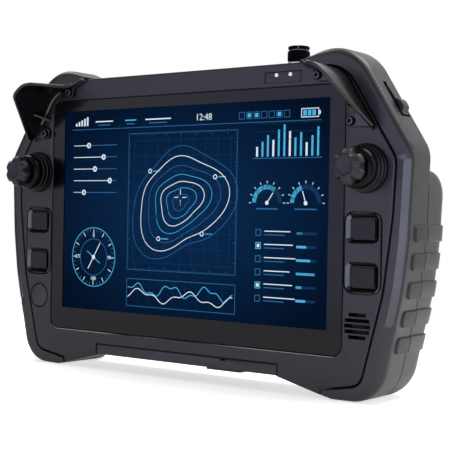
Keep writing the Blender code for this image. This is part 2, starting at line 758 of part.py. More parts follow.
def build_shoulder_key(side, label):
    point, normal = shoulder_place()
    frame = side_frame(side, point, normal, SHOULDER_Y)
    plate = rectangle(SHOULDER_LENGTH, SHOULDER_WIDTH, SHOULDER_CORNER, 3)
    made = body("key", prism(plate, -SHOULDER_DEEP, SHOULDER_PROUD, frame))
    half = SHOULDER_LENGTH / 2
    hump = rounded_path(
        [
            (-0.1 * half, -SHOULDER_PROUD, 0, 0),
            (0.2 * half, SHOULDER_HUMP, 0.4 * half, 3),
            (0.7 * half, SHOULDER_HUMP, 0.25 * half, 3),
            (0.92 * half, -SHOULDER_PROUD, 0, 0),
        ]
    )
    flat = SHOULDER_WIDTH / 2 - SHOULDER_CORNER / 2
    upright = frame @ Matrix.Rotation(math.radians(90), 4, "X") @ Matrix.Scale(-1, 4, Z)
    join(made, prism(hump, -flat, flat, upright))
    return finish(made, label + "_shoulder_key", KEY_RUBBER, frame.translation)


# Rear housing and grips


def rear_outline(outer, inset):
    """Outline inside the bumper down to the grips, then stepped in between them."""
    floor = GRIP_TOP + 2 * GAP
    ear = shifted(outer, -inset)
    side = GRIP_INNER - REAR_STEP
    half = [Vector((ear[0].x, TOP - inset))]
    half += [p for p, beside in zip(ear[1:], outer[1:]) if beside.y > floor]
    half += [side_at(ear, floor)[0], Vector((side, floor)), Vector((side, -BOTTOM + 2 * REAR_STEP))]
    return mirrored(half)


def build_rear_housing(outer):
    front = FRONT_DEPTH + GAP
    sections = [(rear_outline(outer, REAR_INSET), front)]
    outline = rear_outline(outer, REAR_INSET + REAR_TAPER)
    for inset, fall in ((0, 1), (0.3, 0.3), (1, 0)):
        edge = shifted(outline, -inset * REAR_BEVEL, closed=True)
        sections.append((edge, REAR_BACK - fall * REAR_BEVEL))
    made = body("rear_housing", loft(sections, inward()))
    width = 2 * (GRIP_INNER - REAR_STEP - WALL)
    low, high = REAR_FLOOR - BOTTOM, TOP - REAR_INSET - REAR_TAPER - WALL
    hollow = rectangle(width, high - low, z=(low + high) / 2)
    cut(made, prism(hollow, front - CUT, REAR_BACK - REAR_WALL, inward()))
    grow = 2 * GAP
    rebate = rectangle(COVER_WIDTH + grow, COVER_HEIGHT + grow, COVER_CORNER, 3, z=COVER_LEVEL)
    cut(made, prism(rebate, REAR_BACK - COVER_THICK - GAP, REAR_BACK + CUT, inward()))
    cut(made, prism(cover_window(), front - CUT, REAR_BACK + CUT, inward()))
    for x, z in cover_screws():
        cut(made, rod(SCREW_HOLE, REAR_BACK - REAR_WALL - CUT, REAR_BACK + CUT, 8, inward(x, z)))
    for x, z in housing_screws():
        seat = REAR_BACK - SCREW_HEAD_THICK - GAP
        cut(made, rod(COUNTERBORE, seat, REAR_BACK + CUT, 10, inward(x, z)))
        cut(made, rod(SCREW_HOLE, seat - HOUSING_SCREW_LENGTH - CUT, seat + CUT, 8, inward(x, z)))
    return finish(made, "rear_housing", HOUSING_PLASTIC)


def cover_window(shrink=0.0):
    spread = 2 * (COVER_LEDGE + shrink)
    return rectangle(COVER_WIDTH - spread, COVER_HEIGHT - spread, z=COVER_LEVEL)


def cover_screws():
    w = COVER_WIDTH / 2 - COVER_LEDGE / 2
    h = COVER_HEIGHT / 2 - COVER_LEDGE / 2
    return [(sx * w, COVER_LEVEL + sz * h) for sx in (-1, 1) for sz in (-1, 1)]


def housing_screws():
    return [(side * x, z) for side in (-1, 1) for x, z in HOUSING_SCREWS]


def grip_levels():
    """Heights of the grip's sections, top to bottom, each with how far its pad stands out."""
    levels = [(GRIP_TOP - GRIP_CROWN * t, 0) for t in (0, 0.06, 0.25, 0.55, 1)]
    for z in PAD_LEVELS:
        half = PAD_HEIGHT / 2
        slope = 0.5 * PAD_PROUD
        levels += [(z + half, 0), (z + half - slope, PAD_PROUD), (z - half + slope, PAD_PROUD), (z - half, 0)]
    levels += [(-LOBE + GRIP_HEEL * t, 0) for t in (1, 0.6, 0.3, 0.1, 0)]
    return levels


def ease(t):
    """Fall of a quarter round, from 0 at t = 0 to 1 at t = 1."""
    return 1 - math.sqrt(max(0.0, 1 - min(1.0, max(0.0, t)) ** 2))


def grip_section(outer, z, proud):
    crown = ease(1 - (GRIP_TOP - z) / GRIP_CROWN)
    heel = ease(1 - (z + LOBE) / GRIP_HEEL)
    x_out = side_at(outer, z)[0].x - GRIP_STEP - GRIP_CROWN_SIDE * crown
    x_in = max(GRIP_INNER, FOOT_END - (z + LOBE) * LOBE_RAMP / LOBE_DROP)
    front = FRONT_DEPTH + GAP
    back = GRIP_BACK - GRIP_CROWN_BACK * crown - GRIP_HEEL_BACK * heel
    round_out = min(GRIP_ROUND, 0.45 * (x_out - x_in), 0.8 * (back - front))
    round_in = min(GRIP_INNER_ROUND, 0.3 * (x_out - x_in))
    centre = Vector((x_out - round_out, back - round_out))
    arc = [centre + (round_out + proud) * Vector((math.cos(a), math.sin(a))) for a in grip_turns()]
    inner = [Vector((x_in + round_in, back)), Vector((x_in, back - round_in))]
    return [Vector((x_in, front)), Vector((x_out + proud, front))] + arc + inner


def grip_turns():
    return [math.radians(90) * k / 4 for k in range(5)]


def build_grip(side, label, outer):
    rings = []
    for z, proud in grip_levels():
        rings.append([(side * p.x, p.y, z) for p in grip_section(outer, z, proud)])
    return finish(body("grip", skin(rings)), label + "_grip", GRIP_RUBBER)


def build_battery():
    back = REAR_BACK - COVER_THICK
    plate = rectangle(COVER_WIDTH, COVER_HEIGHT, COVER_CORNER, 3, z=COVER_LEVEL)
    cover = prism(plate, back, REAR_BACK, inward())
    bevel(cover, COVER_EDGE, 1, lambda co: co.y > REAR_BACK - 0.01 * MM)
    made = body("cover", cover)
    for x, z in cover_screws():
        cut(made, rod(SCREW_HOLE, back - CUT, REAR_BACK + CUT, 8, inward(x, z)))
    finish(made, "battery_cover", HOUSING_PLASTIC)
    pack = prism(cover_window(CUT), BATTERY_FRONT, back - GAP, inward())
    bevel(pack, BATTERY_EDGE, 2, lambda co: True)
    finish(body("pack", pack), "battery_pack", BATTERY_WRAP)


# Display


def build_display():
    glass = prism(glass_outline(), GLASS_SINK, GLASS_SINK + GLASS_THICK, inward())
    finish(body("glass", glass), "display_glass", GLASS)
    seat = GLASS_SINK + GLASS_THICK + GAP
    made = body("gasket", prism(glass_outline(-GASKET_EDGE), seat, seat + GASKET_THICK, inward()))
    cut(made, prism(window(), seat - CUT, seat + GASKET_THICK + CUT, inward()))
    finish(made, "display_gasket", SEAL_FOAM)
    small, large = window(-GASKET_EDGE), window(PANEL_LIP)
    plate = PLATE + GAP
    steps = [(small, seat), (small, plate), (large, plate), (large, plate + PANEL_THICK)]
    finish(body("panel", loft(steps, inward())), "display_panel", SCREEN)
    behind = plate + PANEL_THICK + GAP
    board = rectangle(MAIN_BOARD_WIDTH, MAIN_BOARD_HEIGHT)
    shield = rectangle(SHIELD_WIDTH, SHIELD_HEIGHT)
    top = behind + BOARD_THICK
    layers = [(board, behind), (board, top), (shield, top), (shield, top + SHIELD_THICK)]
    finish(body("board", loft(layers, inward())), "main_board", BOARD_GREEN)


# Sticks


def lobed(radius, notch):
    """Outline of the cap: lobes parted by notches, six points to a lobe."""
    depths = [1.0, 0.55, 0.0, 0.0, 0.0, 0.55]
    points = []
    for i, point in enumerate(circle(1.0, CAP_LOBES * len(depths))):
        points.append(point * (radius - notch * depths[i % len(depths)]))
    return points


def build_cap(side, label):
    frame = outward(side * STICK_X, STICK_Z)
    low = BOOT_HEIGHT + 2 * GAP
    span = CAP_TOP - low
    sections = [
        (lobed(CAP_NECK, 0), low),
        (lobed(0.82 * CAP_RADIUS, 0.15 * CAP_NOTCH), low + 0.18 * span),
        (lobed(0.98 * CAP_RADIUS, 0.85 * CAP_NOTCH), low + 0.42 * span),
        (lobed(CAP_RADIUS, CAP_NOTCH), low + 0.68 * span),
        (lobed(0.86 * CAP_RADIUS, 0.6 * CAP_NOTCH), low + 0.9 * span),
        (lobed(0.7 * CAP_RADIUS, 0.2 * CAP_NOTCH), CAP_TOP),
        (lobed(CAP_DISH, 0), CAP_TOP),
        (lobed(0.9 * CAP_DISH, 0), CAP_TOP - CAP_DISH_DEPTH),
    ]
    made = body("cap", loft(sections, frame))
    cut(made, rod(SPIGOT_RADIUS + GAP, low - CUT, low + SPIGOT_LENGTH + GAP, 12, frame))
    return finish(made, label + "_stick_cap", CAP_PLASTIC, pivot(side))


def pivot(side):
    return Vector((side * STICK_X, PIVOT_DEPTH, STICK_Z))


def build_shaft(side, label):
    frame = outward(side * STICK_X, STICK_Z, PIVOT_DEPTH)
    top = PIVOT_DEPTH + BOOT_HEIGHT + 2 * GAP
    ball = [math.radians(a) for a in (-90, -50, -10, 25)]
    profile = [(BALL_RADIUS * math.cos(a), BALL_RADIUS * math.sin(a)) for a in ball]
    profile[0] = (0, -BALL_RADIUS)
    profile += [
        (SHAFT_RADIUS, BALL_RADIUS),
        (SHAFT_RADIUS, top - GAP),
        (SPIGOT_RADIUS, top - GAP),
        (SPIGOT_RADIUS, top + SPIGOT_LENGTH),
        (0, top + SPIGOT_LENGTH),
    ]
    made = body("shaft", turned(profile, 16, frame))
    reach = RING_OUTER - GAP
    join(made, rod(TRUNNION_RADIUS, -reach, reach, 10, upward(*pivot(side))))
    return finish(made, label + "_stick_shaft", STEEL, pivot(side))


def build_gimbal(side, label):
    x, y, z = pivot(side)
    frame = inward(x, z)
    bore = TRUNNION_RADIUS + TRUNNION_CLEARANCE
    face = PLATE + GAP
    profile = [
        (FRAME_INNER, face),
        (FRAME_FLANGE, face),
        (FRAME_FLANGE, face + FRAME_FLANGE_THICK),
        (FRAME_OUTER, face + FRAME_FLANGE_THICK),
        (FRAME_OUTER, FRAME_BACK),
        (FRAME_INNER, FRAME_BACK),
    ]
    cup = body("frame", turned(profile, 16, frame, hollow=True))
    sideways = axes(Vector((x, y, z)), Y, Z, X)
    cut(cup, rod(bore, -FRAME_FLANGE, FRAME_FLANGE, 12, sideways))
    finish(cup, label + "_gimbal_frame", GIMBAL_PLASTIC)
    half = RING_THICK / 2
    hoop = [(RING_INNER, y - half), (RING_OUTER, y - half), (RING_OUTER, y + half), (RING_INNER, y + half)]
    ring = body("ring", turned(hoop, 16, frame, hollow=True))
    middle = (RING_INNER + RING_OUTER) / 2
    reach = FRAME_OUTER - GAP
    for low, high in ((-reach, -middle), (middle, reach)):
        join(ring, rod(TRUNNION_RADIUS, low, high, 10, sideways))
    cut(ring, rod(bore, -RING_OUTER - CUT, RING_OUTER + CUT, 12, upward(x, y, z)))
    finish(ring, label + "_gimbal_ring", GIMBAL_METAL, pivot(side))


def boot_profile():
    """Outer side from the foot up over the rings to the neck, then back down inside."""
    outer = [(BOOT_RADIUS, GAP)]
    for i in range(BOOT_RINGS):
        crest = BOOT_RADIUS - i * BOOT_TAPER
        level = BOOT_FIRST + i * BOOT_RING_PITCH
        outer.append((crest, level))
        outer.append((crest - BOOT_RING_DEPTH, level + BOOT_RING_PITCH / 2))
    shoulder = BOOT_RADIUS - BOOT_RINGS * BOOT_TAPER
    foot = outer[-1][1]
    rise = BOOT_HEIGHT - foot
    fall = shoulder - BOOT_TOP_RADIUS
    outer += [(shoulder, foot + 0.15 * rise), (shoulder - 0.25 * fall, foot + 0.55 * rise)]
    outer.append((BOOT_TOP_RADIUS, BOOT_HEIGHT))
    hole = SHAFT_RADIUS + 2 * GAP
    inner = [
        (hole, BOOT_HEIGHT),
        (hole, BOOT_HEIGHT - BOOT_WALL),
        (BOOT_TOP_RADIUS - BOOT_WALL, BOOT_HEIGHT - BOOT_WALL),
        (shoulder - 0.3 * fall - 1.4 * BOOT_WALL, BOOT_HEIGHT - 0.55 * rise - 0.5 * BOOT_WALL),
        (BOOT_RADIUS - BOOT_RING_DEPTH - BOOT_WALL, GAP),
    ]
    return outer + inner


def build_boot(side, label):
    boot = turned(boot_profile(), 18, outward(side * STICK_X, STICK_Z), hollow=True)
    return finish(body("boot", boot), label + "_stick_boot", BOOT_RUBBER)


# Guards and screws


def guard_section(place, normal, height, flange):
    """Wall with a rounded lip and a foot along its inner side, leaning out where it faces the side."""
    half = GUARD_THICK / 2
    lean = GUARD_LEAN * max(0, normal.x)
    lip = min(GUARD_LIP, 0.3 * height)
    foot = GAP + min(GUARD_FLANGE_THICK, 0.5 * (height - GAP))
    profile = [
        (half, GAP),
        (half, height - lip),
        (half - lip, height),
        (lip - half, height),
        (-half, height - lip),
        (-half, foot),
        (-half - flange, foot),
        (-half - flange, GAP),
    ]
    return [(place + normal * (n + lean * h), h) for n, h in profile]


def guard_tabs():
    """Outlines of the two screw tabs, each reaching into the wall."""
    r = GUARD_TAB_RADIUS
    wall = GUARD_PATH[2][1]
    x, z = GUARD_TOP_SCREW
    end = x + GUARD_TOP_TAB
    top = [(x - r, wall, 0, 0), (x - r, z - r, 0.95 * r, 4), (end, z - r, 0, 0), (end, wall, 0, 0)]
    x, z = GUARD_SIDE_SCREW

    def on_wall(level):
        return GUARD_PATH[2][0] + (level - wall) * GUARD_FALL[0] / GUARD_FALL[1]

    low, high = z - r, z + 2 * r
    side = [
        (x - r, low, 0.9 * r, 4),
        (on_wall(low), low, 0, 0),
        (on_wall(high), high, 0, 0),
        (x - r, z + r, 0.9 * r, 4),
    ]
    return [rounded_path(top), rounded_path(side)]


def guard_gusset(side):
    """Three-cornered web between the wall and the face, below the corner."""
    corner = Vector(GUARD_PATH[2][:2]) + GUSSET_PLACE * Vector(GUARD_FALL)
    across_wall = Vector((side * GUARD_FALL[1], 0, -GUARD_FALL[0]))
    down_wall = Vector((side * GUARD_FALL[0], 0, GUARD_FALL[1]))
    frame = axes(Vector((side * corner.x, 0, corner.y)), across_wall, -Y, down_wall)
    toe = GAP + GUSSET_TOE
    wall = GUARD_THICK / 2
    corners = [(0, GAP), (GUSSET_REACH, GAP), (GUSSET_REACH, toe), (wall, GUSSET_RISE), (0, GUSSET_RISE)]
    return prism([Vector(p) for p in corners], -GUSSET_THICK / 2, GUSSET_THICK / 2, frame)


def build_guard(side, label):
    path = rounded_path(GUARD_PATH)
    edge = rounded_path(GUARD_RISE)
    length = distances(path)[-1]
    stretch = length / edge[-1].x
    places = sorted({round(s, 6) for s in distances(path)} | {round(p.x * stretch, 6) for p in edge})
    rings = []
    for s in places:
        place, normal = point_along(path, min(s, length))
        height = point_on_edge(edge, s / stretch)
        flange = GUARD_FLANGE if s > GUARD_FLANGE_START else GUARD_BARE_FOOT
        rings.append([(side * p.x, -h, p.y) for p, h in guard_section(place, normal, height, flange)])
    made = body("guard", skin(rings))
    join(made, guard_gusset(side))
    for outline in guard_tabs():
        flipped = [Vector((side * p.x, p.y)) for p in outline]
        join(made, prism(flipped, GAP, GAP + GUARD_TAB_THICK, outward()))
    for x, z in (GUARD_TOP_SCREW, GUARD_SIDE_SCREW):
        cut(made, rod(SCREW_HOLE, -CUT, GUARD_TAB_THICK + CUT, 12, outward(side * x, z)))
    return finish(made, label + "_stick_guard", GUARD_PLASTIC)


def point_on_edge(edge, distance):
    for a, b in zip(edge, edge[1:]):
        if a.x <= distance <= b.x and b.x > a.x:
            return a.y + (b.y - a.y) * (distance - a.x) / (b.x - a.x)
    return edge[-1].y


def build_screw(name, frame, length):
    """Socket-head screw: its head sits on the frame's plane, and its shank runs along the third axis."""
    top = -SCREW_HEAD_THICK
    profile = [
        (0, top + SCREW_SOCKET_DEPTH),
        (SCREW_SOCKET, top + SCREW_SOCKET_DEPTH),
        (SCREW_SOCKET, top),
        (SCREW_HEAD - SCREW_BREAK, top),
        (SCREW_HEAD, top + SCREW_BREAK),
        (SCREW_HEAD, 0),
        (SCREW_SHANK, 0),
        (SCREW_SHANK, length),
        (0, length),
    ]
    finish(body("screw", turned(profile, SCREW_SIDES, frame)), name, SCREW_STEEL)


def build_screws():
    for side, label in ((-1, "left"), (1, "right")):
        for place, (x, z) in (("top", GUARD_TOP_SCREW), ("side", GUARD_SIDE_SCREW)):
            seat = axes(Vector((side * x, -GUARD_TAB_THICK - 2 * GAP, z)), X, Z, Y)
            build_screw(f"{label}_guard_screw_{place}", seat, GUARD_TAB_THICK + PLATE)
    for i, (x, z) in enumerate(cover_screws()):
        seat = axes(Vector((x, REAR_BACK + GAP, z)), X, Z, -Y)
        build_screw(f"battery_cover_screw_{i + 1}", seat, REAR_WALL)
    for i, (x, z) in enumerate(housing_screws()):
        seat = axes(Vector((x, REAR_BACK - SCREW_HEAD_THICK, z)), X, Z, -Y)
        build_screw(f"housing_screw_{i + 1}", seat, HOUSING_SCREW_LENGTH)


# Keys


def build_bezel(side, label):
    frame = outward(side * BEZEL_X, BEZEL_Z)
    plate = prism(rectangle(BEZEL_WIDTH, BEZEL_HEIGHT, BEZEL_CORNER, 3), -BEZEL_SINK, BEZEL_PROUD, frame)
    bevel(plate, BEZEL_EDGE, 1, lambda co: co.y < 0.01 * MM - BEZEL_PROUD)
    made = body("bezel", plate)
    wide, high = KEY_WIDTH + 2 * KEY_CLEARANCE, KEY_HEIGHT + 2 * KEY_CLEARANCE
    hole = rectangle(wide, high, KEY_CORNER, 3)
    spread = 2 * WELL_CHAMFER
    mouth = rectangle(wide + spread, high + spread, KEY_CORNER + WELL_CHAMFER, 3)
    slope = BEZEL_PROUD - WELL_SLOPE
    well = [(hole, -BEZEL_SINK - CUT), (hole, slope), (mouth, BEZEL_PROUD), (mouth, BEZEL_PROUD + CUT)]
    for z in key_places():
        cut(made, loft(well, outward(side * BEZEL_X, z)))
    return finish(made, label + "_key_bezel", HOUSING_PLASTIC)


def build_square_keys(side, label):
    for place, z in zip(("upper", "lower"), key_places()):
        frame = outward(side * BEZEL_X, z)
        head = prism(rectangle(KEY_WIDTH, KEY_HEIGHT, KEY_CORNER, 3), KEY_PROUD - KEY_BODY, KEY_PROUD, frame)
        bevel(head, KEY_EDGE, 2, lambda co: co.y < 0.01 * MM - KEY_PROUD)
        made = body("key", head)
        join(made, prism(rectangle(STEM_WIDTH, STEM_HEIGHT), stem_end(), KEY_PROUD - KEY_BODY / 2, frame))
        finish(made, f"{label}_{place}_key", KEY_RUBBER, (side * BEZEL_X, 0, z))


def stem_end():
    """End of a key's stem, which stops just short of its board when pressed."""
    return -(PLATE + GAP - KEY_TRAVEL - GAP)


def build_round_key():
    frame = outward(-ROUND_KEY_X, ROUND_KEY_Z)
    top = KEY_PROUD + KEY_EDGE
    profile = [
        (0, top),
        (0.7 * ROUND_KEY_RADIUS, top - ROUND_KEY_CROWN),
        (ROUND_KEY_RADIUS - KEY_EDGE, KEY_PROUD),
        (ROUND_KEY_RADIUS, KEY_PROUD - KEY_EDGE),
        (ROUND_KEY_RADIUS, -KEY_BODY),
        (STEM_HEIGHT / 2, -KEY_BODY),
        (STEM_HEIGHT / 2, stem_end()),
        (0, stem_end()),
    ]
    made = body("key", turned(profile, 24, frame))
    finish(made, "round_key", KEY_RUBBER, (-ROUND_KEY_X, 0, ROUND_KEY_Z))


def build_key_boards():
    low = BEZEL_Z - BEZEL_HEIGHT / 2
    left, right = BEZEL_X - KEY_BOARD_WIDTH / 2, BEZEL_X + KEY_BOARD_WIDTH / 2
    front = PLATE + GAP
    foot = ROUND_KEY_Z - STEM_HEIGHT
    tapered = [(left, 0), (right, 0), (right, low), (ROUND_KEY_X + STEM_HEIGHT / 2, foot), (left, foot)]
    outline = [Vector((-x, z)) for x, z in tapered]
    made = body("board", prism(outline, front, front + BOARD_THICK, inward()))
    finish(made, "left_key_board", BOARD_GREEN)
    plain = rectangle(KEY_BOARD_WIDTH, -low, x=BEZEL_X, z=low / 2)
    made = body("board", prism(plain, front, front + BOARD_THICK, inward()))
    finish(made, "right_key_board", BOARD_GREEN)


# Hatch, knob, speaker and indicators


def build_hatch():
    half = HATCH_WIDTH / 2
    y, z = hinge_axis()
    flap = prism(hatch_section(), -half, half, across())
    made = body("hatch", flap)
    low = -BOTTOM + HATCH_LOW
    tab = rectangle(TAB_WIDTH, TAB_DEEP, TAB_CORNER, 3, z=HATCH_FACE + TAB_SINK + TAB_DEEP / 2)
    join(made, prism(tab, low - TAB_DROP, low + 0.5 * HATCH_THICK, upward(TAB_X)))
    notch = rectangle(TAB_NOTCH, TAB_NOTCH)
    cut(made, prism(notch, -CUT, HATCH_THICK + CUT, inward(TAB_X, -BOTTOM + HATCH_LIP + 0.2 * TAB_NOTCH)))
    bore = across() @ Matrix.Translation((y, z, 0))
    cut(made, rod(PIN_RADIUS + PIN_CLEARANCE, -half - CUT, half + CUT, 8, bore))
    finish(made, "port_hatch", BUMPER_RUBBER, (0, y, z))
    reach = half + HATCH_CLEARANCE + PIN_REACH - GAP
    finish(body("pin", rod(PIN_RADIUS, -reach, reach, 8, bore)), "hatch_pin", STEEL)
    roof = -BOTTOM + HATCH_LIP + BAY_RISE
    floor = roof + BAY_ROOF + GAP
    length = PORT_X[-1] - PORT_X[0] + 2 * PORT_WIDTH
    outline = rectangle(length, PORT_BLOCK_DEEP)
    block = body("ports", prism(outline, floor, floor + PORT_BLOCK_HIGH, upward(0, PORT_Y)))
    nose = rectangle(PORT_WIDTH, PORT_HEIGHT)
    mouth = rectangle(PORT_WIDTH - 2 * PORT_SHELL, PORT_HEIGHT - 2 * PORT_SHELL)
    for x in PORT_X:
        join(block, prism(nose, roof + GAP, floor + CUT, upward(x, PORT_Y)))
        cut(block, prism(mouth, roof - CUT, floor + 2 * CUT, upward(x, PORT_Y)))
    finish(block, "port_block", STEEL)


def build_knob():
    frame = upward(KNOB_X, KNOB_Y)
    base = TOP + GAP
    seat = base + COLLAR_THICK + GAP
    inner = ENCODER_BUSH + GAP
    collar = [
        (inner, base),
        (KNOB_RADIUS, base),
        (KNOB_RADIUS, base + 0.6 * COLLAR_THICK),
        (KNOB_RADIUS - 0.4 * COLLAR_THICK, base + COLLAR_THICK),
        (inner, base + COLLAR_THICK),
    ]
    finish(body("collar", turned(collar, 20, frame, hollow=True)), "knob_collar", COLLAR_METAL)
    sides = 2 * KNOB_RIDGES
    dips = [1 - (i % 2) * KNOB_RIDGE / KNOB_RADIUS for i in range(sides)]
    ridged = [p * dip for p, dip in zip(circle(KNOB_RADIUS, sides), dips)]
    plain = circle(KNOB_RADIUS - KNOB_RIDGE, sides)
    groove = circle(KNOB_RADIUS - KNOB_GROOVE, sides)
    narrow = circle(KNOB_RADIUS - KNOB_RIDGE - KNOB_BREAK, sides)
    top = seat + KNOB_HEIGHT
    sections = [
        (plain, seat),
        (ridged, seat + 0.05 * KNOB_HEIGHT),
        (ridged, seat + 0.62 * KNOB_HEIGHT),
        (plain, seat + 0.66 * KNOB_HEIGHT),
        (groove, seat + 0.68 * KNOB_HEIGHT),
        (groove, seat + 0.78 * KNOB_HEIGHT),
        (plain, seat + 0.8 * KNOB_HEIGHT),
        (plain, top - KNOB_BREAK),
        (narrow, top),
    ]
    made = body("knob", loft(sections, frame))
    shaft_end = seat + 0.6 * KNOB_HEIGHT
    cut(made, rod(ENCODER_SHAFT + GAP, seat - CUT, shaft_end + GAP, 16, frame))
    finish(made, "rotary_knob", KNOB_PLASTIC, (KNOB_X, KNOB_Y, seat))
    under = TOP - WALL - GAP
    box = rectangle(ENCODER_SIZE, ENCODER_SIZE)
    encoder = body("encoder", prism(box, under - ENCODER_HIGH, under, frame))
    bush = [(0, under - CUT), (ENCODER_BUSH, under - CUT), (ENCODER_BUSH, seat), (ENCODER_SHAFT, seat)]
    join(encoder, turned(bush + [(ENCODER_SHAFT, shaft_end), (0, shaft_end)], 16, frame))
    finish(encoder, "knob_encoder", STEEL)


def build_speaker():
    frame = inward(SPEAKER_X, SPEAKER_Z)
    front = PLATE + GAP
    r = SPEAKER_RADIUS
    profile = [
        (0, front + CONE_DEPTH),
        (0.7 * r, front + 0.33 * CONE_DEPTH),
        (0.8 * r, front),
        (r, front),
        (r, front + 0.5 * SPEAKER_THICK),
        (0.6 * r, front + SPEAKER_THICK),
        (0, front + SPEAKER_THICK),
    ]
    finish(body("speaker", turned(profile, 14, frame)), "speaker", CAP_PLASTIC)


def build_indicators():
    frame = inward(INDICATOR_X, INDICATOR_Z)
    plate = rectangle(INDICATOR_WIDTH, INDICATOR_HEIGHT, INDICATOR_CORNER, 2)
    made = body("window", prism(plate, WINDOW_SINK, INDICATOR_DEPTH - GAP, frame))
    places = [INDICATOR_X - LENS_SPACING / 2, INDICATOR_X + LENS_SPACING / 2]
    level = INDICATOR_Z + LENS_OFFSET
    for x in places:
        cut(made, rod(LENS_RADIUS + GAP, -CUT, INDICATOR_DEPTH + CUT, 12, inward(x, level)))
    finish(made, "indicator_window", SMOKED)
    for x, name in zip(places, ("left_indicator", "right_indicator")):
        back = [(LENS_RADIUS, INDICATOR_DEPTH - GAP), (0, INDICATOR_DEPTH - GAP)]
        finish(body("lens", turned(LENS_DOME + back, 12, inward(x, level))), name, LENS_WHITE)


for old in list(bpy.data.objects):
    bpy.data.objects.remove(old)

HOUSING_PLASTIC = material("housing_plastic", "3a3b44", 0.55)
BUMPER_RUBBER = material("bumper_rubber", "44454e", 0.65)
GRIP_RUBBER = material("grip_rubber", "58585d", 0.75)
GUARD_PLASTIC = material("guard_plastic", "17181b", 0.42)
BOOT_RUBBER = material("boot_rubber", "131417", 0.6)
CAP_PLASTIC = material("cap_plastic", "36373c", 0.5)
KEY_RUBBER = material("key_rubber", "33333b", 0.6)
KNOB_PLASTIC = material("knob_plastic", "141518", 0.45)
COLLAR_METAL = material("collar_metal", "c9c9cc", 0.3, 1.0)
GLASS = material("cover_glass", "2c2c2f", 0.25)
SCREEN = material("screen", "031b39", 0.3)
SMOKED = material("smoked_window", "37373b", 0.3)
LENS_WHITE = material("lens_white", "e8e8e8", 0.3)
SEAL_FOAM = material("seal_foam", "101012", 0.9)
BATTERY_WRAP = material("battery_wrap", "23252b", 0.5)
BOARD_GREEN = material("board_green", "1d4a2c", 0.5)
STEEL = material("steel", "9a9a9e", 0.35, 1.0)
SCREW_STEEL = material("screw_steel", "2a2a2d", 0.4, 1.0)
GIMBAL_PLASTIC = material("gimbal_plastic", "1b1c1f", 0.5)
GIMBAL_METAL = material("gimbal_metal", "8b8c90", 0.35, 1.0)

ROOT = bpy.data.objects.new("device", None)
bpy.context.scene.collection.objects.link(ROOT)
ROOT.location = (0, (GUARD_REACH - GRIP_BACK - PAD_PROUD) / 2, LOBE)

seam_path = rounded_path(SEAM)
outer_path = rounded_path(OUTER)
build_front_housing(seam_path)
build_rear_housing(outer_path)
build_battery()
build_display()
for side, label in ((-1, "left"), (1, "right")):
    build_bumper(side, label, seam_path, outer_path)
    build_grip(side, label, outer_path)
    build_guard(side, label)
    build_bezel(side, label)
    build_square_keys(side, label)
    build_shoulder_key(side, label)
    build_cap(side, label)
    build_shaft(side, label)
    build_gimbal(side, label)
    build_boot(side, label)
build_round_key()
build_key_boards()
build_hatch()
build_knob()
build_speaker()
build_indicators()
build_screws()
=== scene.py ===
import json
import math

import bmesh
import bpy
from mathutils import Matrix, Quaternion, Vector

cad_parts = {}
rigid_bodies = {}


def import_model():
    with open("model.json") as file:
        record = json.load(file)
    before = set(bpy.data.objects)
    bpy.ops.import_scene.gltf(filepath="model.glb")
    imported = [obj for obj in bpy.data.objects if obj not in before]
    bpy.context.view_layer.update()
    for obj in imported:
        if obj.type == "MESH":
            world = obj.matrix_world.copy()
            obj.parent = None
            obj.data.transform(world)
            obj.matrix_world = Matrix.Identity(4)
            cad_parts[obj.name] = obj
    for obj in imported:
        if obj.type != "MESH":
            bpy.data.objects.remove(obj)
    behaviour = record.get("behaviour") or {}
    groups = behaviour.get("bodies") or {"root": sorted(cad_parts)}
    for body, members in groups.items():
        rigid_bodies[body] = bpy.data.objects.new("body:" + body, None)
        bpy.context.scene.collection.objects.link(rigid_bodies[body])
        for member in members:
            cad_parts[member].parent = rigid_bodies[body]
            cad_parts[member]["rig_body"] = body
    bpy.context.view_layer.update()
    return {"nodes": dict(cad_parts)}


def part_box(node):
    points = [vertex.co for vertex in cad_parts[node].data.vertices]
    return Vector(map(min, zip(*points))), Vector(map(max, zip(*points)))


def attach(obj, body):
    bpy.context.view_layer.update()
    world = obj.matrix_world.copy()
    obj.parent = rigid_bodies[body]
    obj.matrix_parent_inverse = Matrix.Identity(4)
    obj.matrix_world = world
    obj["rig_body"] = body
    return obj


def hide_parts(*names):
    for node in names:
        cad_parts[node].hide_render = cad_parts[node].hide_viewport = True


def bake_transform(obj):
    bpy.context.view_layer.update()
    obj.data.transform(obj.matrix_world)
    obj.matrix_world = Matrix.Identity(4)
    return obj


for old in list(bpy.data.objects):
    bpy.data.objects.remove(old)
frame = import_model()
mm = 0.001
sides = ("left", "right")
scene = bpy.context.scene
scene.view_settings.view_transform = "Standard"

# The display's middle and the plane of the front face, read from the solids
panelLow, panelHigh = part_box("display_panel")
glassLow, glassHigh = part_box("display_glass")
middle = (panelLow + panelHigh) / 2
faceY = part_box("front_housing")[0].y
print("frame loaded:", len(frame["nodes"]), "nodes")


def place(x, depth, z):  # millimetres from the display's middle, depth behind the front face
    return Vector((x * mm, faceY + depth * mm, middle.z + z * mm))


# Camera at the photograph's angle

cameraSet = {
    "at": (464.59, -562.83, -2.12),  # mm, in the frame of place()
    "aim": (32.43, 1.4, -8.01),
    "roll": 1.045,  # degrees
    "lens": 91.49,
    "sensor": 36.0,
    "clip": (0.05, 20),  # metres
}


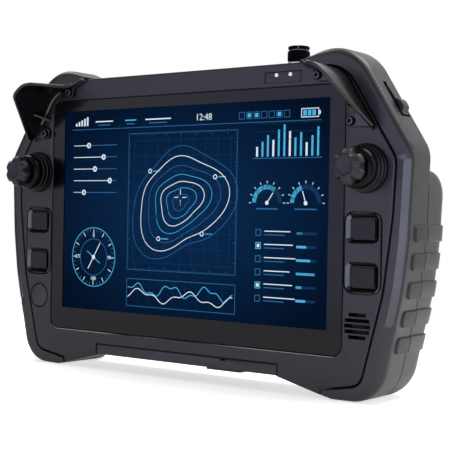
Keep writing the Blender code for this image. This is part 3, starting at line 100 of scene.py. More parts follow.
def makeCamera():
    data = bpy.data.cameras.new("camera")
    data.lens = cameraSet["lens"]
    data.sensor_width = cameraSet["sensor"]
    data.clip_start, data.clip_end = cameraSet["clip"]
    camera = bpy.data.objects.new("camera", data)
    scene.collection.objects.link(camera)
    camera.location = place(*cameraSet["at"])
    aim = (place(*cameraSet["aim"]) - camera.location).to_track_quat("-Z", "Y")
    camera.rotation_mode = "QUATERNION"
    camera.rotation_quaternion = aim @ Quaternion((0, 0, 1), math.radians(cameraSet["roll"]))
    scene.camera = camera


# Shader helpers


def hexColor(code):
    values = [int(code[i : i + 2], 16) / 255 for i in (0, 2, 4)]
    linear = [v / 12.92 if v <= 0.04045 else ((v + 0.055) / 1.055) ** 2.4 for v in values]
    return (*linear, 1.0)


def setInputs(tree, node, inputs):  # a socket is linked, anything else is set
    for name, value in inputs.items():
        if isinstance(value, bpy.types.NodeSocket):
            tree.links.new(value, node.inputs[name])
        else:
            node.inputs[name].default_value = value


def addNode(tree, kind, inputs=None, **settings):
    node = tree.nodes.new(kind)
    for name, value in settings.items():
        setattr(node, name, value)
    setInputs(tree, node, inputs or {})
    return node


def newMaterial(name, sockets):
    material = bpy.data.materials.new(name)
    material.use_nodes = True
    tree = material.node_tree
    shader = tree.nodes["Principled BSDF"]
    setInputs(tree, shader, sockets)
    return material, tree, shader


def noiseScale(size):  # Noise texture scale for a pattern whose grains are this many mm across
    return 1 / (size * mm)


# What a moulding has unless its own dictionary says otherwise
plainMoulding = {
    "patch": 22,  # mm across the soft patches, which run from the first colour to the second
    "turn": (0.3, 0.7),  # levels of the noise between which they do
    "grain": 0.6,  # mm across
    "bump": 0.05,
    "depth": 0.05,  # mm
    "specular": 0.5,
    "ior": 1.5,
}


# A polymer moulded in a spark-eroded tool: broad soft patches and a fine leathery grain
def mouldedPolymer(name, given):
    spec = {**plainMoulding, **given}
    material, tree, shader = newMaterial(name, {"Specular IOR Level": spec["specular"], "IOR": spec["ior"]})
    where = addNode(tree, "ShaderNodeTexCoord").outputs["Object"]
    broad = {"Vector": where, "Scale": noiseScale(spec["patch"]), "Detail": 3.0, "Roughness": 0.55}
    patch = addNode(tree, "ShaderNodeTexNoise", broad).outputs["Fac"]
    tint = addNode(tree, "ShaderNodeValToRGB", {"Fac": patch})
    for stop, position, code in zip(tint.color_ramp.elements, spec["turn"], spec["colors"]):
        stop.position = position
        stop.color = hexColor(code)
    start, end = spec["turn"]
    low, high = spec["roughness"]
    span = {"Value": patch, "From Min": start, "From Max": end, "To Min": low, "To Max": high}
    shine = addNode(tree, "ShaderNodeMapRange", span)
    fine = {"Vector": where, "Scale": noiseScale(spec["grain"]), "Detail": 2.0, "Roughness": 0.6}
    grain = addNode(tree, "ShaderNodeTexNoise", fine).outputs["Fac"]
    relief = {"Strength": spec["bump"], "Distance": spec["depth"] * mm, "Height": grain}
    bump = addNode(tree, "ShaderNodeBump", relief)
    finish = {"Base Color": tint.outputs["Color"], "Roughness": shine.outputs["Result"]}
    setInputs(tree, shader, {**finish, "Normal": bump.outputs["Normal"]})
    return material


# Turned or drawn metal: fine lines along one direction
def drawnMetal(name, spec):
    material, tree, shader = newMaterial(name, {"Metallic": 1.0})
    where = addNode(tree, "ShaderNodeTexCoord").outputs["Object"]
    stretch = addNode(tree, "ShaderNodeMapping", {"Vector": where, "Scale": spec["stretch"]})
    fine = {"Vector": stretch.outputs["Vector"], "Scale": noiseScale(spec["line"]), "Detail": 2.0}
    lines = addNode(tree, "ShaderNodeTexNoise", fine).outputs["Fac"]
    tint = addNode(tree, "ShaderNodeValToRGB", {"Fac": lines})
    for stop, code in zip(tint.color_ramp.elements, spec["colors"]):
        stop.color = hexColor(code)
    low, high = spec["roughness"]
    shine = addNode(tree, "ShaderNodeMapRange", {"Value": lines, "To Min": low, "To Max": high})
    setInputs(tree, shader, {"Base Color": tint.outputs["Color"], "Roughness": shine.outputs["Result"]})
    return material


# ABS of the front frame: cool dark grey, satin, fine grain drawn at twice its real 0.3 mm so that it shows
absHousing = mouldedPolymer("mouldedAbs", {
    "colors": ("222226", "26262a"), "roughness": (0.33, 0.4), "specular": 0.4, "bump": 0.12, "depth": 0.15,
})
# The same ABS, glossier, as a painted highlight: laid on the slopes round the glass and the keys that face
# the light, it gives a bright line along the edge
polishedAbs = mouldedPolymer("polishedAbs", {
    "colors": ("222226", "26262a"), "roughness": (0.14, 0.2), "specular": 1.0, "bump": 0.02,
})
# Soft-touch elastomer moulded over the corners: a shade darker than the frame, and dull
overmould = mouldedPolymer("overmouldedElastomer", {
    "colors": ("1b1b1f", "1e1e22"), "roughness": (0.36, 0.43), "patch": 30, "grain": 0.7,
    "bump": 0.14, "depth": 0.18,
})
# The same elastomer, glossier, on the facets: a painted sheen, a pale even band
rubbedOvermould = mouldedPolymer("rubbedOvermould", {
    "colors": ("1b1b1f", "1e1e22"), "roughness": (0.3, 0.36), "specular": 0.85, "bump": 0.04,
})
# The same elastomer with a coarser matt grain on the raised pads
paddedOvermould = mouldedPolymer("paddedOvermould", {
    "colors": ("1b1b1f", "1e1e22"), "roughness": (0.42, 0.5), "specular": 0.4, "bump": 0.08,
})
# The same elastomer on the grips, made paler: painted light that stands in for the light on the grips'
# sides
gripElastomer = mouldedPolymer("gripElastomer", {
    "colors": ("2b2b2e", "303033"), "roughness": (0.42, 0.5), "patch": 26, "grain": 0.8,
    "bump": 0.18, "depth": 0.2,
})
# Glass-filled nylon guards: nearly black, with a satin shine
nylonGuard = mouldedPolymer("glassFilledNylon", {
    "colors": ("030304", "050506"), "roughness": (0.24, 0.3), "patch": 16, "grain": 0.5,
    "bump": 0.08, "depth": 0.1,
})
# The same nylon, paler and glossier, along the foot of the guards: a painted highlight, a pale line in the
# dark
polishedNylon = mouldedPolymer("polishedNylon", {
    "colors": ("0a0a0b", "0c0c0d"), "roughness": (0.24, 0.3), "specular": 1.0, "bump": 0.02,
})
# Silicone bellows: black, dull, and very smooth; the same black also serves as painted shade in gaps,
# hollows and on slopes turned from the light
bootRubberAndShade = mouldedPolymer("siliconeRubber", {
    "colors": ("040405", "060607"), "roughness": (0.26, 0.34), "specular": 0.12, "patch": 9, "grain": 0.4,
    "depth": 0.08,
})
# The same rubber, greyer and shinier, on the bellows' crests: a painted highlight along each
crestSheenSilicone = mouldedPolymer("rubbedSiliconeRubber", {
    "colors": ("0f0f11", "131315"), "roughness": (0.3, 0.38), "specular": 0.3, "patch": 9, "grain": 0.4,
    "depth": 0.08,
})
# Stick caps in a soft grey elastomer: matt, a little paler than the corners
capElastomer = mouldedPolymer("capElastomer", {
    "colors": ("1b1c20", "202125"), "roughness": (0.42, 0.54), "specular": 0.4, "patch": 7, "grain": 0.45,
    "bump": 0.1, "depth": 0.12,
})
# Silicone keys: duller than the frame, with a finer grain
keySilicone = mouldedPolymer("keySilicone", {
    "colors": ("16161b", "1a1a20"), "roughness": (0.5, 0.6), "specular": 0.3, "patch": 12, "grain": 0.4,
    "bump": 0.06, "depth": 0.08,
})
# Acetal knob: black with a soft shine
acetalKnob = mouldedPolymer("acetalKnob", {
    "colors": ("040405", "060607"), "roughness": (0.4, 0.5), "specular": 0.03, "patch": 8, "grain": 0.35,
    "depth": 0.08,
})
# Epoxy circuit board with a green mask
boardEpoxy = mouldedPolymer("maskedEpoxyBoard", {
    "colors": ("14402a", "1e5234"), "roughness": (0.35, 0.45), "patch": 18, "grain": 0.8,
})
# Closed-cell foam seal: black and open-grained
foamSeal = mouldedPolymer("closedCellFoam", {
    "colors": ("0c0c0e", "141416"), "roughness": (0.85, 0.95), "specular": 0.15, "patch": 3, "grain": 0.5,
    "bump": 0.4, "depth": 0.2,
})
# Shrink wrap round the battery: dark blue-grey, with a soft shine
batteryWrap = mouldedPolymer("shrinkWrap", {
    "colors": ("1d2028", "262a33"), "roughness": (0.28, 0.4), "patch": 20, "grain": 1.2,
    "bump": 0.1, "depth": 0.1,
})
# Smoked polycarbonate window: glossy and a little darker than the frame
smokedWindow = mouldedPolymer("smokedPolycarbonate", {
    "colors": ("1e1f23", "222327"), "roughness": (0.15, 0.2), "specular": 0.3, "patch": 14, "grain": 2.0,
    "bump": 0.02, "depth": 0.03,
})
# Black printed border on the back of the cover glass: deep, with a clear gloss over it
printedGlass = mouldedPolymer("backPrintedGlass", {
    "colors": ("050506", "070709"), "roughness": (0.16, 0.2), "specular": 0.23, "patch": 40, "grain": 6.0,
    "bump": 0.01, "depth": 0.02,
})
# Pale grey paint filled into the knob's groove and pointer
ringPaint = mouldedPolymer("filledPaint", {
    "colors": ("8e8f92", "9a9b9e"), "roughness": (0.4, 0.5), "specular": 0.4, "patch": 4, "grain": 0.4,
    "bump": 0.03,
})
# Frosted polycarbonate lens over a small lamp: an even white dot
frostedLens = newMaterial("frostedPolycarbonate", {
    "Base Color": hexColor("e6e6e8"), "Roughness": 0.35,
    "Emission Color": hexColor("ffffff"), "Emission Strength": 0.4,
})[0]
# Blackened screw steel: dark, with a soft metal shine
blackSteel = drawnMetal("blackenedSteel", {
    "colors": ("46474b", "525357"), "roughness": (0.3, 0.42), "line": 0.5, "stretch": (1, 1, 1),
})
# Bright drawn steel of shafts, pins and sockets
brightSteel = drawnMetal("drawnSteel", {
    "colors": ("8c8d91", "a3a4a8"), "roughness": (0.25, 0.4), "line": 0.4, "stretch": (1, 0.1, 1),
})
# Turned aluminium collar under the knob, with lathe lines round it
turnedAluminium = drawnMetal("turnedAluminium", {
    "colors": ("bcbdc1", "d2d3d6"), "roughness": (0.25, 0.38), "line": 0.35, "stretch": (0.1, 0.1, 1),
})
print("materials made")


# Piece helpers

merged = 0.002 * mm  # vertices nearer than this are one
flatAngle = math.radians(0.6)  # faces that lean less than this to each other are one
cornerMiddle = 0.3  # share of a small round's width where the point between its two ends lies
upright = Matrix.Rotation(math.radians(90), 4, "X")  # turns a flat shape to face the user
unitGrid = {"x_segments": 1, "y_segments": 1, "size": 0.5}  # one square, 1 m wide until it is scaled


def addPiece(name, bm, material, body=None, replaced=(), sharp=35):  # sharp in degrees
    mesh = bpy.data.meshes.new(name)
    bm.to_mesh(mesh)
    bm.free()
    mesh.materials.append(material)
    mesh.shade_smooth()
    mesh.set_sharp_from_angle(angle=math.radians(sharp))
    piece = bpy.data.objects.new(name, mesh)
    scene.collection.objects.link(piece)
    if body:
        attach(piece, body)
    if replaced:
        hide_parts(*replaced)
    return piece


def paintFaces(piece, material, chosen):  # a second finish on the faces that a rule picks
    piece.data.materials.append(material)
    index = len(piece.data.materials) - 1
    for face in piece.data.polygons:
        if chosen(face):
            face.material_index = index


def bodyOf(node):
    return frame["nodes"][node]["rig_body"]


def camel(node):
    words = node.split("_")
    return words[0] + "".join(word.capitalize() for word in words[1:])


def copyNode(node):  # a merged copy of a CAD node's loose triangles, with flat faces made whole again
    bm = bmesh.new()
    bm.from_mesh(frame["nodes"][node].data)
    bmesh.ops.remove_doubles(bm, verts=bm.verts, dist=2 * merged)
    bmesh.ops.dissolve_limit(bm, angle_limit=flatAngle, verts=bm.verts, edges=bm.edges)
    return bm


def dressNode(node, material, sharp, bm=None):  # a piece in the place of a whole CAD node
    shape = copyNode(node) if bm is None else bm
    return addPiece(camel(node), shape, material, bodyOf(node), [node], sharp)


def bevel(bm, geom, width, segments, affect="EDGES"):
    spec = {"segments": segments, "profile": 0.5, "material": -1, "clamp_overlap": affect == "EDGES"}
    bmesh.ops.bevel(bm, geom=geom, offset=width * mm, affect=affect, **spec)


def pullFaces(bm, faces, vec):  # extrudes the faces and gives their new vertices and edges
    made = bmesh.ops.extrude_face_region(bm, geom=faces)["geom"]
    verts = [v for v in made if isinstance(v, bmesh.types.BMVert)]
    bmesh.ops.translate(bm, vec=vec, verts=verts)
    return verts, [e for e in made if isinstance(e, bmesh.types.BMEdge)]


def spun(profile, centre, axis, steps):  # (radius, level) points in metres turned about a line along Y or Z
    bm = bmesh.new()
    if axis == "Y":
        points = [(centre.x + r, level, centre.z) for r, level in profile]
        turn = {"cent": (centre.x, 0, centre.z), "axis": (0, 1, 0)}
    else:
        points = [(centre.x + r, centre.y, level) for r, level in profile]
        turn = {"cent": (centre.x, centre.y, 0), "axis": (0, 0, 1)}
    verts = [bm.verts.new(point) for point in points]
    edges = [bm.edges.new(pair) for pair in zip(verts, verts[1:])]
    bmesh.ops.spin(bm, geom=verts + edges, steps=steps, angle=2 * math.pi, use_merge=True, **turn)
    bmesh.ops.remove_doubles(bm, verts=bm.verts, dist=merged)
    bmesh.ops.recalc_face_normals(bm, faces=bm.faces)
    return bm


def ringProfile(inner, outer, low, high):  # a closed square section for spun()
    return [(inner, low), (inner, high), (outer, high), (outer, low), (inner, low)]


finishes = {
    "rear_housing": absHousing,
    "battery_cover": absHousing,
    "round_key": overmould,
    "knob_collar": turnedAluminium,
    "indicator_window": smokedWindow,
    "left_indicator": frostedLens,
    "right_indicator": frostedLens,
}
for node, material in finishes.items():
    dressNode(node, material, sharp=20)
print("shells dressed:", len(finishes))


# Front frame: the outline's front edge gets a fuller round; the slopes that look up round the glass and the
# key fields get a painted highlight, and the slope left of the glass painted shade

flatOut = -0.999  # along Y, the normal of a face that looks straight out at the user
slopeRange = (-0.95, -0.3)  # along Y, the normals of a slope
tilted = 0.3  # along X or Z, the least normal of a face that leans that way
housingSet = {
    "edge": 0.9,  # mm
    "segments": 3,
    "slope": (-0.95, -0.85),  # normals along Y of the moulded edge behind it
    "level": 0.01,  # mm from the front within which an edge counts
    "margin": 2,  # mm round the openings
}


def within(point, low, high):  # seen from the front
    return low.x < point.x < high.x and low.z < point.z < high.z


def sloped(face):
    return slopeRange[0] < face.normal.y < slopeRange[1]


def grown(box, margin):
    reach = Vector((margin, 0, margin)) * mm
    return box[0] - reach, box[1] + reach


def frontRim(bm, front, spec):  # edges where the flat front meets a face of the given slope
    bm.normal_update()
    low, high = spec["slope"]
    rim = []
    for e in bm.edges:
        if len(e.link_faces) == 2 and max(abs(v.co.y - front) for v in e.verts) < spec["level"] * mm:
            flat, slope = sorted(f.normal.y for f in e.link_faces)
            if flat < flatOut and low < slope < high:
                rim.append(e)
    return rim


def makeHousing():
    bm = copyNode("front_housing")
    rim = frontRim(bm, faceY, housingSet)
    bevel(bm, rim, housingSet["edge"], housingSet["segments"])
    piece = dressNode("front_housing", absHousing, sharp=17, bm=bm)
    boxes = [(glassLow, glassHigh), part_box("left_key_bezel"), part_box("right_key_bezel")]
    rims = [grown(box, housingSet["margin"]) for box in boxes]

    # the slopes that look up get a painted highlight
    def lowerRim(face):  # slopes that look up
        return sloped(face) and face.normal.z > tilted and any(within(face.center, *rim) for rim in rims)

    # painted shade: the slope left of the glass gets the black of the boots
    def leftRim(face):  # the slope left of the glass, in its own shade
        beside = face.center.x < glassLow.x + housingSet["margin"] * mm and within(face.center, *rims[0])
        return sloped(face) and face.normal.x > tilted and beside

    paintFaces(piece, polishedAbs, lowerRim)
    paintFaces(piece, bootRubberAndShade, leftRim)
    print("housing edges rounded:", len(rim))


# Port hatch: its front edges are broken, so that a dark line shows round it

hatchSet = {"edge": 0.5, "segments": 2, "slope": (-0.5, 1.01), "level": 0.02}  # as for the frame


def makeHatch():
    bm = copyNode("port_hatch")
    rim = frontRim(bm, min(v.co.y for v in bm.verts), hatchSet)
    bevel(bm, rim, hatchSet["edge"], hatchSet["segments"])
    dressNode("port_hatch", overmould, sharp=20, bm=bm)
    print("hatch edges broken:", len(rim))


# Key fields: a painted highlight on the inner slope at the user's left of each key, and painted shade on
# the other slopes and on the keys' sides

keyFieldSet = {"margin": 3, "leftSlope": 0.25, "skirt": -0.3}  # mm, then normals along X and Y


def makeKeyField(side):
    keys = [side + "_upper_key", side + "_lower_key"]
    wells = [grown(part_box(key), keyFieldSet["margin"]) for key in keys]

    def inWell(face):
        return sloped(face) and any(within(face.center, *well) for well in wells)

    piece = dressNode(side + "_key_bezel", absHousing, sharp=20)
    # painted shade on the well slopes turned from the light, a painted highlight on those that face it
    paintFaces(piece, bootRubberAndShade, lambda f: inWell(f) and f.normal.x < keyFieldSet["leftSlope"])
    paintFaces(piece, polishedAbs, lambda f: inWell(f) and f.normal.x >= keyFieldSet["leftSlope"])
    for key in keys:
        piece = dressNode(key, keySilicone, sharp=20)
        # the keys' sides are painted in shade
        paintFaces(piece, bootRubberAndShade, lambda f: f.normal.y > keyFieldSet["skirt"])


# Painted shade of the gaps: thin black strips, flush with the face, round the hatch, the indicator window
# and the round key

gapShadeSet = {
    "proud": 0.05,  # mm, like the rest
    "slack": 0.1,
    "hatch": 1.0,
    "foot": 1.0,  # left free at the hatch's foot
    "window": 0.5,
    "round": 0.8,
    "steps": 64,
}


def gapShadeStrips(name, box, width):  # along the top and both sides
    wide, up = Vector((width * mm, 0, 0)), Vector((0, 0, width * mm))
    low, high = grown(box, gapShadeSet["slack"])
    topLeft, lowRight = Vector((low.x, 0, high.z)), Vector((high.x, 0, low.z))
    bm = bmesh.new()
    for a, b in ((topLeft - wide, high + up + wide), (low - wide, topLeft), (lowRight, high + wide)):
        centred = Matrix.Translation(((a.x + b.x) / 2, faceY, (a.z + b.z) / 2))
        spread = Matrix.Diagonal((b.x - a.x, 2 * gapShadeSet["proud"] * mm, b.z - a.z, 1))
        bmesh.ops.create_cube(bm, size=1, matrix=centred @ spread)
    addPiece(name, bm, bootRubberAndShade, "chassis")


# the black strips and ring paint the shade in the gaps
def makeGapShades():
    low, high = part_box("port_hatch")
    foot = Vector((0, 0, gapShadeSet["foot"] * mm))
    gapShadeStrips("hatchSeal", (low + foot, high), gapShadeSet["hatch"])
    gapShadeStrips("windowSeal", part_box("indicator_window"), gapShadeSet["window"])
    low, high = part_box("round_key")
    inner = (high.x - low.x) / 2 + gapShadeSet["slack"] * mm
    ring = ringProfile(inner, inner + gapShadeSet["round"] * mm, faceY, faceY - gapShadeSet["proud"] * mm)
    bm = spun(ring, (low + high) / 2, "Y", gapShadeSet["steps"])
    addPiece("roundKeySeal", bm, bootRubberAndShade, "chassis")


makeHousing()
makeHatch()
for side in sides:
    makeKeyField(side)
makeGapShades()
print("frame, hatch, keys and seals made")

# Inner pieces keep their solids and only take a finish
innerFinishes = {
    "display_gasket": foamSeal,
    "display_panel": blackSteel,
    "main_board": boardEpoxy,
    "left_key_board": boardEpoxy,
    "right_key_board": boardEpoxy,
    "battery_pack": batteryWrap,
    "speaker": bootRubberAndShade,
    "hatch_pin": brightSteel,
    "port_block": brightSteel,
    "knob_encoder": brightSteel,
    "left_stick_shaft": brightSteel,
    "right_stick_shaft": brightSteel,
    "left_gimbal_frame": nylonGuard,
    "right_gimbal_frame": nylonGuard,
    "left_gimbal_ring": turnedAluminium,
    "right_gimbal_ring": turnedAluminium,
}
for node, material in innerFinishes.items():
    mesh = frame["nodes"][node].data
    mesh.materials.clear()
    mesh.materials.append(material)
print("inner pieces finished:", len(innerFinishes))


# Shape helpers for the swept pieces, in millimetres from the display's middle


def roundedPath(corners, finer):  # corners are (x, z, radius, steps)
    points = []
    for i, (x, z, radius, steps) in enumerate(corners):
        corner = Vector((x, z))
        if not radius:
            points.append(corner)
            continue
        back = (Vector(corners[i - 1][:2]) - corner).normalized()
        ahead = (Vector(corners[(i + 1) % len(corners)][:2]) - corner).normalized()
        half = back.angle(ahead) / 2
        centre = corner + (back + ahead).normalized() * radius / math.sin(half)
        start = corner + back * radius / math.tan(half) - centre
        turn = math.copysign(math.pi - 2 * half, ahead.x * back.y - ahead.y * back.x)
        count = steps * finer
        points += [centre + Matrix.Rotation(turn * k / count, 2) @ start for k in range(count + 1)]
    return points


def shortSteps(path, longest):
    points = [path[0]]
    for a, b in zip(path, path[1:]):
        count = max(1, math.ceil((b - a).length / longest))
        points += [a.lerp(b, k / count) for k in range(1, count + 1)]
    return points


def nearestOn(path, point):
    spots = []
    for a, b in zip(path, path[1:]):
        share = (point - a).dot(b - a) / (b - a).length_squared
        spots.append(a.lerp(b, min(1.0, max(0.0, share))))
    return min(spots, key=lambda spot: (spot - point).length)


def pathSteps(path):
    total = [0.0]
    for a, b in zip(path, path[1:]):
        total.append(total[-1] + (b - a).length)
    return total


def pointAlong(path, total, distance):  # place and left-hand normal
    i = next((k for k in range(len(path) - 2) if total[k + 1] > distance), len(path) - 2)
    along = (path[i + 1] - path[i]).normalized()
    return path[i] + along * (distance - total[i]), Vector((-along.y, along.x))


def sideAt(path, z):  # place and outward normal where the right side crosses a level
    for a, b in zip(path, path[1:]):
        if a.y >= z >= b.y and a.y > b.y:
            along = (b - a).normalized()
            return a.lerp(b, (a.y - z) / (a.y - b.y)), Vector((-along.y, along.x))
    return path[-1], Vector((1, 0))


def arc(centre, radius, start, steps):  # a quarter turn of points, from a start in degrees
    angles = [math.radians(start + 90 * k / steps) for k in range(steps + 1)]
    return [(centre[0] + radius * math.cos(a), centre[1] + radius * math.sin(a)) for a in angles]


def outlineEdges(bm, points):  # a closed loop of new edges
    loop = [bm.verts.new(point) for point in points]
    return loop, [bm.edges.new(pair) for pair in zip(loop, loop[1:] + loop[:1])]


def sweep(rings):  # a closed skin through rings of places, with both ends filled
    bm = bmesh.new()
    loop, edges = outlineEdges(bm, rings[0])
    bmesh.ops.edgeloop_fill(bm, edges=edges)
    for ring in rings[1:]:
        made = bmesh.ops.extrude_edge_only(bm, edges=edges)["geom"]
        fresh = {v for v in made if isinstance(v, bmesh.types.BMVert)}
        edges = [e for e in made if isinstance(e, bmesh.types.BMEdge) and fresh.issuperset(e.verts)]
        loop = [next(e.other_vert(v) for e in v.link_edges if e.other_vert(v) in fresh) for v in loop]
        for vert, point in zip(loop, ring):
            vert.co = point
    bmesh.ops.edgeloop_fill(bm, edges=edges)
    bmesh.ops.recalc_face_normals(bm, faces=bm.faces)
    return bm


def turnToSide(bm, side):  # pieces are shaped for the right side and mirrored for the left
    if side == "left":
        bmesh.ops.scale(bm, vec=(-1, 1, 1), verts=bm.verts)
        bmesh.ops.reverse_faces(bm, faces=bm.faces)


# Bumpers: a swept section with a rounded front edge, a sloping facet and a slot for the shoulder key

bodyEdge, bodyTop, chinDrop, lobeDrop = 119.08, 89.4, 97.5, 107.6  # mm
lobeInner = bodyEdge - 6.6

bumperSet = {
    "seam": [  # x, z, radius of the corner, steps round it
        (bodyEdge - 30.0, bodyTop, 0, 0),
        (bodyEdge - 21.5, bodyTop - 4.0, 0, 0),
        (bodyEdge - 1.2, bodyTop - 4.0, 22, 5),
        (bodyEdge + 33.0, 31.7, 14, 3),
        (bodyEdge + 31.6, 0, 60, 1),
        (bodyEdge + 26.0, -45, 60, 1),
        (bodyEdge + 20.6, -66, 0, 0),
        (bodyEdge + 19.0, -72, 0, 0),
        (bodyEdge + 12.5, -chinDrop, 9, 4),
        (bodyEdge - 6.0, -chinDrop - 3.2, 0, 0),
        (bodyEdge - 12.8, -chinDrop - 4.4, 0, 0),
    ],
    "outer": [
        (bodyEdge - 30.0, bodyTop + 1.4, 0, 0),
        (bodyEdge - 23.0, bodyTop + 4.1, 0, 0),
        (bodyEdge + 1.1, bodyTop + 14.5, 29, 5),
        (bodyEdge + 43.9, 36.5, 18, 3),
        (bodyEdge + 41.5, -15, 150, 1),
        (bodyEdge + 37.9, -45, 120, 1),
        (bodyEdge + 33.2, -66, 0, 0),
        (bodyEdge + 31.8, -72, 0, 0),
        (bodyEdge + 23.9, -lobeDrop, 22, 4),
        (lobeInner, -lobeDrop, 0, 0),
        (bodyEdge - 12.8, -lobeDrop + 1.55, 0, 0),
    ],
    "finer": 4,  # times the steps above
    "longest": 2.0,  # mm between sections
    "seamGap": 0.85,
    "depth": 22.0,
    "edge": (6.0, 1.4),  # away from the facet and beside it
    "edgeSteps": 7,
    "lip": 0.7,
    "lipRound": [(1, 0), (0.3, 0.35), (0, 1.4)],  # across and down, as shares of the lip
    "most": {"edge": 0.42, "facet": 0.4, "lip": 0.1},  # share of a narrow section that each may take
    "backEdge": 0.7,
    "facetWidth": 4.1,
    "facetDepth": 1.8,
    "facetTop": 35.0,
    "facetEnd": -67.0,
    "facetFade": 4.0,
    "facetTilt": (-0.99, -0.85),  # normals along Y
    "facetLeast": 2.4,  # mm across the faces that get the painted sheen
}
shoulderSet = {
    "share": 0.56,  # of the way down the slanted side
    "depth": 14.3,
    "length": 22.4,
    "width": 8.8,
    "gap": 0.8,
    "sink": 5.0,
    "bow": 1.8,
    "cuts": 5,  # on each half
    "frontBand": 0.6,  # mm behind its front that bow with it
    "near": 40,  # mm round the key that its slot may cut
    "skin": 0.5,  # mm from the slanted side to a face that the slot may sink
}
padSet = {
    "levels": (-10.2, -26.3, -42.6, -58.8, -74.2),
    "height": 9.8,
    "proud": 1.2,
    "sunk": 0.8,
    "front": 6.8,
    "corner": 3.8,
    "cornerSteps": 8,
    "edge": 0.8,
    "edgeSteps": 3,
    "slant": 1.2,
}
outerPath = roundedPath(bumperSet["outer"], bumperSet["finer"])
seamPath = roundedPath(bumperSet["seam"], bumperSet["finer"])


def facetDepth(z):
    fade = bumperSet["facetFade"]
    share = min((bumperSet["facetTop"] - z) / fade, (z - bumperSet["facetEnd"]) / fade)
    return bumperSet["facetDepth"] * min(1.0, max(0.0, share))


def bumperProfile(width, facet):  # (distance in from the side, depth behind the face)
    most = bumperSet["most"]
    plain, beside = bumperSet["edge"]
    edge = min(plain + (beside - plain) * facet / bumperSet["facetDepth"], most["edge"] * width)
    slope = min(bumperSet["facetWidth"], most["facet"] * width)
    lip = min(bumperSet["lip"], most["lip"] * width)
    back, deep = bumperSet["backEdge"], bumperSet["depth"]
    half = shoulderSet["width"] / 2 + shoulderSet["gap"]
    between = cornerMiddle * back
    points = [(back, deep), (between, deep - between), (0, deep - back)]
    points += [(0, shoulderSet["depth"] + half), (0, shoulderSet["depth"] - half)]
    points += arc((edge, facet + edge), edge, 180, bumperSet["edgeSteps"])
    points += [(edge + slope, 0)]
    points += [(width - across * lip, fall * lip) for across, fall in bumperSet["lipRound"]]
    return points + [(width, deep)]


def shoulderPlace():
    a, b = Vector(bumperSet["outer"][2][:2]), Vector(bumperSet["outer"][3][:2])
    along = (b - a).normalized()
    return a.lerp(b, shoulderSet["share"]), along, Vector((-along.y, along.x))


def crossCut(bm, faces, origin, normal):
    geom = faces + [e for f in faces for e in f.edges] + [v for f in faces for v in f.verts]
    cut = {"plane_co": origin, "plane_no": normal, "dist": merged / 2}
    bmesh.ops.bisect_plane(bm, geom=list(dict.fromkeys(geom)), **cut)


def cutShoulderSlot(bm):
    spot, along, out = shoulderPlace()
    half = shoulderSet["length"] / 2 + shoulderSet["gap"]
    wide = shoulderSet["width"] / 2 + shoulderSet["gap"]
    origin = place(spot.x, shoulderSet["depth"], spot.y)
    down = Vector((along.x, 0, along.y))
    face = Vector((out.x, 0, out.y))
    for reach in (-half, half):  # clean edges at both ends of the slot
        near = [f for f in bm.faces if (f.calc_center_median() - origin).length < shoulderSet["near"] * mm]
        crossCut(bm, near, origin + down * reach * mm, down)
    chosen = []
    for f in bm.faces:
        offset = (f.calc_center_median() - origin) / mm
        skin = abs(offset.dot(face)) < shoulderSet["skin"]
        if skin and abs(offset.dot(down)) < half and abs(offset.y) < wide:
            chosen.append(f)
    pullFaces(bm, chosen, -face * shoulderSet["sink"] * mm)
    bmesh.ops.delete(bm, geom=[f for f in chosen if f.is_valid], context="FACES_ONLY")


def makeBumper(side):
    normals = [pointAlong(seamPath, pathSteps(seamPath), d)[1] for d in pathSteps(seamPath)]
    inner = [p + n * bumperSet["seamGap"] for p, n in zip(seamPath, normals)]
    outer = shortSteps(outerPath, bumperSet["longest"])
    inner = [inner[0]] + [nearestOn(inner, point) for point in outer[1:-1]] + [inner[-1]]
    rings = []
    for a, b in zip(outer, inner):
        across = (b - a).normalized()
        profile = bumperProfile((b - a).length, facetDepth(a.y))
        rings.append([place(a.x + across.x * n, y, a.y + across.y * n) for n, y in profile])
    bm = sweep(rings)
    bmesh.ops.remove_doubles(bm, verts=bm.verts, dist=merged)
    cutShoulderSlot(bm)
    turnToSide(bm, side)
    piece = dressNode(side + "_bumper", overmould, sharp=18, bm=bm)
    floor = place(0, 0, bumperSet["facetEnd"] + bumperSet["facetFade"]).z
    roof = place(0, 0, bumperSet["facetTop"]).z
    least, most = bumperSet["facetTilt"]

    # the facet's broad faces get a painted sheen
    def onFacet(face):
        across = [piece.data.vertices[i].co.x for i in face.vertices]
        broad = max(across) - min(across) > bumperSet["facetLeast"] * mm
        return broad and floor < face.center.z < roof and least < face.normal.y < most

    paintFaces(piece, rubbedOvermould, onFacet)


def makeShoulderKey(side):
    node = side + "_shoulder_key"
    bm = copyNode(node)
    spot, along, out = shoulderPlace()
    turn = -1 if side == "left" else 1
    origin = place(turn * spot.x, shoulderSet["depth"], spot.y)
    down = Vector((turn * along.x, 0, along.y))
    half = shoulderSet["length"] / 2 * mm
    cuts = shoulderSet["cuts"]
    for k in range(1 - cuts, cuts):  # short steps along the key, so that its front edge can bow
        crossCut(bm, list(bm.faces), origin + down * half * k / cuts, down)
    front = min(v.co.y for v in bm.verts)
    for v in bm.verts:
        if v.co.y < front + shoulderSet["frontBand"] * mm:
            share = (v.co - origin).dot(down) / half
            v.co.y += shoulderSet["bow"] * mm * max(0.0, 1 - share * share)
    dressNode(node, overmould, sharp=20, bm=bm)


